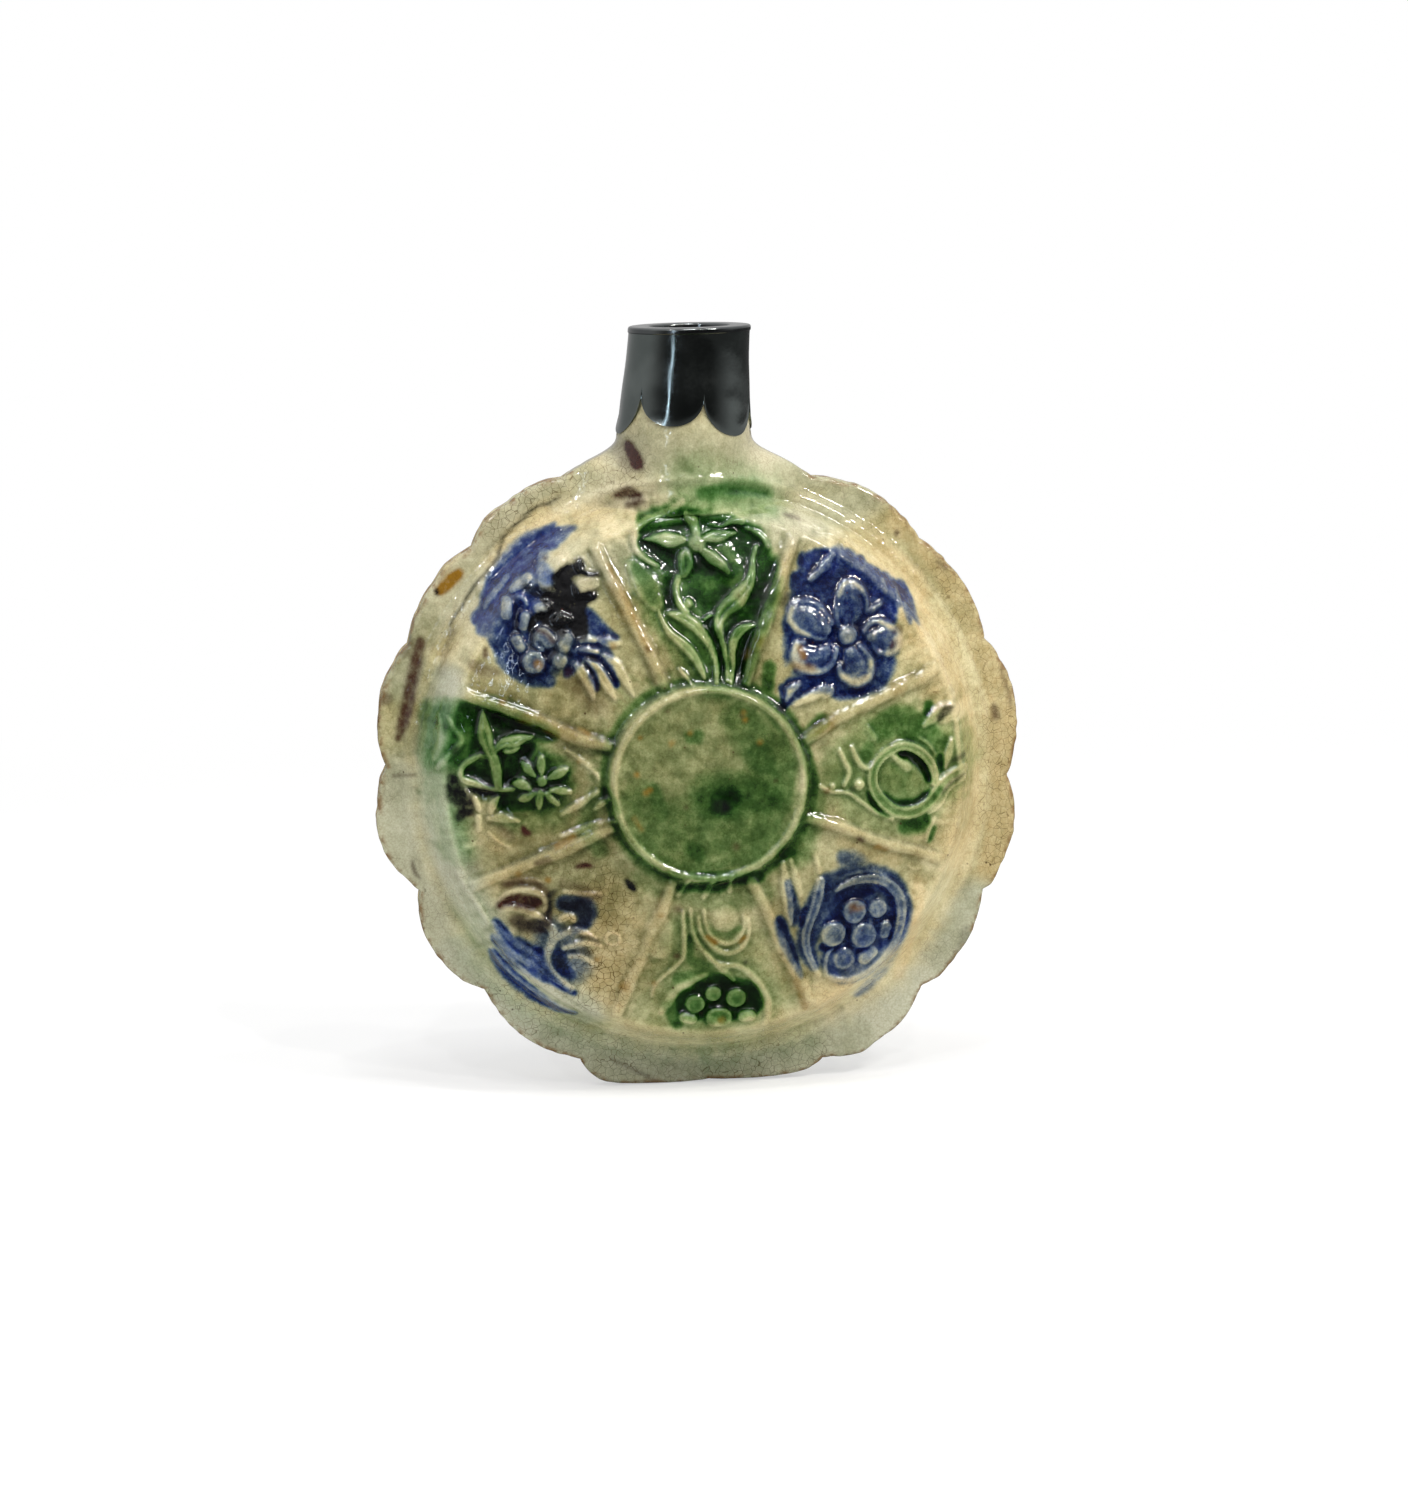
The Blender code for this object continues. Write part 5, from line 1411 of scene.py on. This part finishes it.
class Shades:
    """Builds the nodes of one material or world."""

    def __init__(self, owner, coordinates="Object"):
        owner.use_nodes = True
        self.owner, self.tree = owner, owner.node_tree
        self.place = self.node("ShaderNodeTexCoord").outputs[coordinates]

    def node(self, kind, **settings):
        made = self.tree.nodes.new(kind)
        for key, value in settings.items():
            setattr(made, key, value)
        return made

    def feed(self, socket, value):
        if isinstance(value, bpy.types.NodeSocket):
            self.tree.links.new(value, socket)
        else:
            socket.default_value = value

    def fill(self, made, **inputs):
        """Feeds a node's inputs, named with _ for each space."""
        for key, value in inputs.items():
            self.feed(made.inputs[key.replace("_", " ")], value)
        return made.outputs

    def calc(self, operation, a, b, clamp=False):
        made = self.node("ShaderNodeMath", operation=operation, use_clamp=clamp)
        self.feed(made.inputs[0], a)
        self.feed(made.inputs[1], b)
        return made.outputs[0]

    def times(self, a, b):
        return self.calc("MULTIPLY", a, b)

    def mapped(self, value, low, high, out_low=0.0, out_high=1.0):
        made = self.node("ShaderNodeMapRange", interpolation_type="SMOOTHSTEP")
        ends = {"From_Min": low, "From_Max": high, "To_Min": out_low, "To_Max": out_high}
        return self.fill(made, Value=value, **ends)["Result"]

    def mix(self, share, a, b, blend="MIX"):
        made = self.node("ShaderNodeMix", data_type="RGBA", blend_type=blend, clamp_factor=True)
        for index, value in ((0, share), (6, a), (7, b)):
            self.feed(made.inputs[index], value)
        return made.outputs[2]

    def noise(self, size_mm, detail=3.0, roughness=0.55, stretch=None):
        """Noise from 0 to 1 whose cells are so many millimetres wide."""
        place = self.place
        if stretch:
            place = self.fill(self.node("ShaderNodeMapping"), Vector=place, Scale=stretch)["Vector"]
        made = self.node("ShaderNodeTexNoise")
        scale = 1.0 / (size_mm * MM)
        return self.fill(made, Scale=scale, Detail=detail, Roughness=roughness, Vector=place)["Fac"]

    def cells(self, size_mm, feature="DISTANCE_TO_EDGE", warp=0.0):
        """Distance to the edge or the middle of cells of that size, warped by so many mm."""
        scale = 1.0 / (size_mm * MM)
        place = self.place
        if warp:
            shift = self.fill(self.node("ShaderNodeTexNoise"), Scale=scale / 1.5, Vector=place)["Color"]
            moved = self.node("ShaderNodeVectorMath", operation="MULTIPLY_ADD")
            for index, value in enumerate((shift, (warp * MM,) * 3, place)):
                self.feed(moved.inputs[index], value)
            place = moved.outputs[0]
        made = self.node("ShaderNodeTexVoronoi", feature=feature)
        return self.fill(made, Scale=scale, Vector=place)["Distance"]

    def value(self, name):
        return self.node("ShaderNodeAttribute", attribute_name=name).outputs["Fac"]

    def ramp(self, value, *stops):
        made = self.node("ShaderNodeValToRGB")
        elements = made.color_ramp.elements
        while len(elements) < len(stops):
            elements.new(0.5)
        for element, (position, colour) in zip(elements, stops):
            element.position = position
            element.color = colour
        return self.fill(made, Fac=value)["Color"]

    def bumps(self, *layers):
        """Normals of (height, depth in mm, strength) layers, one over the other."""
        normal = None
        for height, depth, strength in layers:
            made = self.node("ShaderNodeBump")
            below = {} if normal is None else {"Normal": normal}
            normal = self.fill(made, Strength=strength, Distance=depth * MM, Height=height, **below)["Normal"]
        return normal

    def surface(self, **inputs):
        self.fill(self.tree.nodes["Principled BSDF"], **inputs)
        return self.owner


def shades_of(name):
    """The nodes of a new material."""
    return Shades(bpy.data.materials.new(name))


CREAM = tint(222, 212, 172)
CREAM_DEEP = tint(200, 186, 142)
CREAM_STAINED = tint(172, 148, 102)
# A stain colour that also serves as painted warm light on the right flange.
TAN = tint(218, 186, 136)
# Partly a greyish tone of the glaze and partly painted shade on the lower and left flange.
GREY_GREEN_AND_SHADE = tint(194, 195, 176)
WORN_EDGE = tint(118, 86, 50)
BROWN = tint(58, 30, 22)
BLACK = tint(12, 12, 14)
OCHRE = tint(132, 96, 30)
CRACK = tint(122, 98, 68)
GRAIN_SHADE = (0.78, 0.77, 0.74, 1.0)
WHITE = (1.0, 1.0, 1.0, 1.0)
# Noises of the glaze: size in mm, detail and, where it isn't the usual one, roughness
CLOUDS = (7.0, 4.0)
MOTTLES = (1.3, 4.0, 0.65)
BLOTCHES = (3.2, 5.0, 0.62)
GRAIN = (0.35, 2.0)
SPECK_CLOUDS = (4.0, 3.0)
WORN_CLOUDS = (2.2, 3.0)
GLOSS_CLOUDS = (3.0, 3.0)
SWELLS = ((2.4, 1.0), 0.15, 0.8)  # with the depth in mm and the strength of the bumps
RIPPLES = ((1.0, 0.0), 0.10, 0.8)
# From and to, and what these become
THICKNESS = (-0.45, 0.5, 0.42, 1.55)  # of the glaze, from high places to hollows
GLOSS = (0.3, 0.75, 0.03, 0.11)
CRAZED = (0.4, 0.65, 0.05, 0.4)
CRACK_WIDTH = (0.0, 0.045, 1.0, 0.0)
SPECK_WIDTH = (0.05, 0.11, 1.0, 0.0)
CRACK_SIZE = 1.25
CRACK_WARP = 0.6
CRAZE_SHARE = 0.9
SPECK_SIZE = 2.6
SPECK_SHARE = 0.75
WORN_SHARE = 0.85
FILTER_STEPS = (0.0, 0.06, 0.13, 0.22, 0.34, 0.50, 0.72, 1.0)
DEEPEST = 3.6
CLEAR_LEAST = 0.10
# A wash: depth, how much red, green and blue light it takes away, unevenness in blotches and mottles
CLEAR_WASH = (1.0, (1.0, 0.93, 1.18), 0.34, 0.14)  # thick clear glaze turns the cream to olive
GREEN_WASH = (2.6, (1.75, 1.0, 1.75), 0.24, 0.12)
BLUE_WASH = (1.9, (2.3, 1.75, 0.52), 0.20, 0.34)


def filtered(glass):
    """Stops of the light that a wash lets through, from none of it to the deepest."""
    return [(step, (*(math.exp(-step * DEEPEST * part) for part in glass), 1.0)) for step in FILTER_STEPS]


def glaze(name):
    """Lead glaze over cream pottery: washes of stain that pool in hollows, crackle, specks, and painted shade
    and warm light on the flange.
    """
    make = shades_of(name)
    noises = (make.noise(*sizes) for sizes in (CLOUDS, MOTTLES, BLOTCHES, GRAIN))
    cloud, mottle, blotch, grain = noises
    thickness = make.mapped(make.value("pool"), *THICKNESS)
    colour = make.mix(make.mapped(cloud, 0.35, 0.7), CREAM, CREAM_DEEP)
    colour = make.mix(make.mapped(mottle, 0.45, 0.8, 0.0, 0.45), colour, CREAM_STAINED)
    # Painted light: this warm colour brightens the right flange as if lit from there; elsewhere it is real
    # staining.
    tan = make.times(make.value("tan"), make.mapped(mottle, 0.2, 0.8, 0.5, 1.0))
    colour = make.mix(tan, colour, TAN)
    # Painted shade: this greyer colour darkens the lower and left flange, and in a few spots is a real
    # greyish tone.
    colour = make.mix(make.value("grey"), colour, GREY_GREEN_AND_SHADE)
    clear = make.calc("ADD", make.value("murk"), CLEAR_LEAST)
    washes = ((clear, CLEAR_WASH), (make.value("green"), GREEN_WASH), (make.value("blue"), BLUE_WASH))
    for amount, (depth, glass, uneven, fine) in washes:
        patches = make.mapped(blotch, 0.28, 0.72, 1 - uneven, 1 + uneven)
        patches = make.calc("ADD", patches, make.mapped(mottle, 0.3, 0.7, -fine, fine))
        shade = make.times(make.times(amount, thickness), patches)
        shade = make.calc("MULTIPLY", shade, depth / DEEPEST, clamp=True)
        colour = make.mix(1.0, colour, make.ramp(shade, *filtered(glass)), "MULTIPLY")
    for key, shade in (("ochre", OCHRE), ("brown", BROWN), ("black", BLACK)):
        amount = make.times(make.value(key), make.mapped(mottle, 0.2, 0.65, 0.85, 1.25))
        colour = make.mix(make.calc("MINIMUM", amount, 1.0), colour, shade)
    crazed = make.times(make.value("craze"), CRAZE_SHARE)
    crazed = make.calc("ADD", make.mapped(cloud, *CRAZED), crazed)
    crackle = make.mapped(make.cells(CRACK_SIZE, warp=CRACK_WARP), *CRACK_WIDTH)
    colour = make.mix(make.times(crackle, crazed), colour, CRACK, "MULTIPLY")
    specks = make.mapped(make.cells(SPECK_SIZE, "F1"), *SPECK_WIDTH)
    specks = make.times(specks, make.mapped(make.noise(*SPECK_CLOUDS), 0.52, 0.62))
    colour = make.mix(make.times(specks, SPECK_SHARE), colour, BROWN)
    worn = make.times(make.value("edge"), make.mapped(make.noise(*WORN_CLOUDS), 0.42, 0.62))
    colour = make.mix(make.times(worn, WORN_SHARE), colour, WORN_EDGE)
    speckle = make.ramp(make.mapped(grain, 0.25, 0.75), (0.0, GRAIN_SHADE), (1.0, WHITE))
    return make.surface(
        Base_Color=make.mix(1.0, colour, speckle, "MULTIPLY"),
        Roughness=make.mapped(make.noise(*GLOSS_CLOUDS), *GLOSS),
        Normal=make.bumps(*((make.noise(*sizes), *depths) for sizes, *depths in (SWELLS, RIPPLES))),
        Specular_IOR_Level=0.5,
        Coat_Weight=0.25,
        Coat_Roughness=0.03,
        IOR=1.5,
    )


def slip_material():
    make = shades_of("slip_fired")
    shade = make.mix(make.mapped(make.noise(1.2, 4.0), 0.3, 0.7), tint(150, 118, 78), tint(104, 80, 52))
    shade = make.mix(make.mapped(make.noise(6.0), 0.5, 0.7, 0.0, 0.6), shade, tint(190, 172, 128))
    normal = make.bumps((make.noise(0.4, 3.0), 0.08, 0.6))
    return make.surface(Base_Color=shade, Roughness=0.6, Normal=normal)


def plaster_material():
    make = shades_of("plaster_set")
    shade = make.mix(make.mapped(make.noise(2.5, 4.0), 0.3, 0.7), tint(214, 208, 190), tint(188, 178, 152))
    normal = make.bumps((make.noise(0.3, 3.0), 0.06, 0.7))
    return make.surface(Base_Color=shade, Roughness=0.85, Normal=normal)


def metal_material(name, dark, light, worn):
    """Sheet metal tarnished nearly black, polished by handling and rubbed brighter in places."""
    make = shades_of(name)
    patch = make.noise(6.0, 3.0, 0.5)
    fine = make.noise(0.6, 3.0, 0.6)
    streak = make.noise(2.0, 3.0, 0.6, (1.0, 1.0, 0.12))
    shade = make.mix(make.mapped(patch, 0.3, 0.75), dark, light)
    rubbed = make.times(make.mapped(streak, 0.6, 0.8), make.mapped(patch, 0.5, 0.7, 0.0, worn))
    shade = make.mix(rubbed, shade, tint(132, 132, 128))
    rough = make.mapped(make.calc("ADD", patch, make.times(fine, 0.5)), 0.5, 1.1, 0.08, 0.22)
    normal = make.bumps((patch, 0.15, 0.15), (fine, 0.02, 0.25))
    return make.surface(Base_Color=shade, Metallic=1.0, Roughness=rough, Normal=normal)


FLOOR_WHITE = (0.5, 1.0)  # share of plain white in what the camera sees of the floor, near and far
FLOOR_REACH = (0.14, 0.50)
FLOOR_MIRRORED = 0.09  # level of the floor in the glaze's reflections


def floor_material():
    """Pale floor that fades to plain white away from the flask and hardly shows in its gloss."""
    make = shades_of("pale_floor")
    shade = make.mix(make.mapped(make.noise(60.0, 2.0), 0.3, 0.7), tint(246, 246, 246), tint(243, 243, 243))
    make.surface(Base_Color=shade, Roughness=0.6)
    path = make.node("ShaderNodeLightPath").outputs
    away = make.node("ShaderNodeVectorMath", operation="LENGTH")
    make.feed(away.inputs[0], make.place)
    whiteness = make.mapped(away.outputs["Value"], *FLOOR_REACH, *FLOOR_WHITE)
    last = make.tree.nodes["Principled BSDF"].outputs[0]
    levels = ((make.times(path["Is Camera Ray"], whiteness), 1.0), (path["Is Glossy Ray"], FLOOR_MIRRORED))
    for share, level in levels:
        glow = make.fill(make.node("ShaderNodeEmission"), Strength=level)[0]
        both = make.node("ShaderNodeMixShader")
        for index, value in enumerate((share, last, glow)):
            make.feed(both.inputs[index], value)
        last = both.outputs[0]
    output = next(node for node in make.tree.nodes if node.type == "OUTPUT_MATERIAL")
    make.feed(output.inputs["Surface"], last)
    return make.owner


# The whole flask
FRONT_SEED = 11
BACK_SEED = 57
BACK_STAIN = 0.85  # the back isn't in the photo: the same mould, stained a little more lightly


def dress(thing, material, node):
    """Gives a finished piece its material, body, slot and the CAD node that it replaces."""
    thing.data.materials.clear()
    thing.data.materials.append(material)
    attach(thing, "root")
    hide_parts(node)


def make_flask():
    """Every piece of the flask."""
    front_relief, back_relief = relief_map(FRONT_SEED), relief_map(BACK_SEED)
    front = half_values(front_relief, stain_and_light_maps(FRONT_SEED), False)
    back = half_values(back_relief, stain_and_light_maps(BACK_SEED), True, BACK_STAIN)
    front_body = make_half("front_body", front_relief, front, True)
    back_body = make_half("back_body", back_relief, back, False)
    sheet = metal_material("dark_sheet_metal", tint(108, 115, 113), tint(124, 131, 129), 0.4)
    lip = metal_material("dark_lip_metal", tint(98, 101, 102), tint(120, 123, 122), 0.7)
    dress(front_body, glaze("front_lead_glaze"), "front_half")
    dress(back_body, glaze("back_lead_glaze"), "back_half")
    dress(make_seam(), slip_material(), "luting_seam")
    dress(make_neck(front, back), glaze("neck_lead_glaze"), "neck_tube")
    dress(make_bedding(), plaster_material(), "mount_bedding")
    dress(make_sleeve(), sheet, "mount_sleeve")
    dress(make_lip(), lip, "mount_lip")


# Light and floor
FLOOR_SIZE = 6.0
WORLD_RAMPS = (("Y", -0.8, 0.0, 0.035, 0.46), ("Z", 0.1, 0.9, 0.0, 0.45))  # (axis, from, to, levels)
TARGET = (0.0, 0.0, 0.07)
SPOT_SIZE = 0.025
LAMPS = (  # (name, place, width and height, power, colour)
    ("overhead", (0.0, -0.25, 0.95), (0.2, 0.2), 1.6, (1.0, 1.0, 1.0)),
    ("key", (0.55, -0.50, 0.80), (0.12, 0.12), 3.75, (1.0, 0.97, 0.92)),
    ("strip", (-0.52, -0.72, 0.40), (0.02, 0.45), 0.45, (0.70, 0.84, 1.0)),  # like a narrow window
)
SPOTS = (  # (name, place, power, colour)
    ("spot_far_left", (-0.58, -0.62, 0.66), 1.0, (1.0, 1.0, 1.0)),
    ("spot_left", (-0.20, -0.76, 0.84), 1.2, (1.0, 1.0, 1.0)),
    ("spot_right", (0.26, -0.78, 0.80), 1.5, (1.0, 0.98, 0.94)),
    ("spot_far_right", (0.66, -0.62, 0.58), 1.4, (1.0, 0.95, 0.86)),
    ("spot_high_left", (-0.36, -0.36, 1.00), 0.6, (1.0, 1.0, 1.0)),
    ("spot_upper_right", (0.46, -0.62, 0.90), 0.6, (1.0, 0.97, 0.92)),
    ("spot_upper", (-0.06, -0.60, 1.00), 0.6, (1.0, 1.0, 1.0)),
    ("spot_high", (0.06, -0.40, 1.06), 0.8, (1.0, 1.0, 1.0)),
    ("spot_high_right", (0.42, -0.32, 1.00), 0.8, (1.0, 0.97, 0.92)),
)


def set_view():
    """Colours are shown as they are."""
    bpy.context.scene.view_settings.view_transform = "Standard"


def make_floor():
    """A pale floor under the flask that runs far back."""
    half = FLOOR_SIZE / 2
    mesh = bpy.data.meshes.new("floor")
    corners = [(-half, -half, 0), (half, -half, 0), (half, half, 0), (-half, half, 0)]
    mesh.from_pydata(corners, [], [(0, 1, 2, 3)])
    floor = bpy.data.objects.new("floor", mesh)
    bpy.context.scene.collection.objects.link(floor)
    mesh.materials.append(floor_material())


def make_world():
    """Soft surroundings, darkest in front and brightest above, and plain white past the floor."""
    world = bpy.data.worlds.new("studio")
    bpy.context.scene.world = world
    make = Shades(world, "Generated")
    split = make.node("ShaderNodeSeparateXYZ")
    make.feed(split.inputs[0], make.place)
    levels = [make.mapped(split.outputs[axis], *ends) for axis, *ends in WORLD_RAMPS]
    seen = make.node("ShaderNodeLightPath").outputs["Is Camera Ray"]
    output = next(node for node in make.tree.nodes if node.type == "BACKGROUND")
    make.feed(output.inputs["Color"], make.calc("MAXIMUM", make.calc("ADD", *levels), seen))


def make_lamp(name, place, size, power, colour):
    """A rectangular lamp aimed at the flask."""
    lamp = bpy.data.lights.new(name, "AREA")
    lamp.shape = "RECTANGLE"
    lamp.size, lamp.size_y = size
    lamp.energy = power
    lamp.color = colour
    thing = bpy.data.objects.new(name, lamp)
    bpy.context.scene.collection.objects.link(thing)
    thing.location = place
    thing.rotation_mode = "QUATERNION"
    thing.rotation_quaternion = (Vector(TARGET) - Vector(place)).to_track_quat("-Z", "Y")


set_view()
make_flask()
make_floor()
make_world()
for lamp_row in LAMPS:
    make_lamp(*lamp_row)
for spot_name, spot_place, spot_power, spot_colour in SPOTS:
    make_lamp(spot_name, spot_place, (SPOT_SIZE, SPOT_SIZE), spot_power, spot_colour)
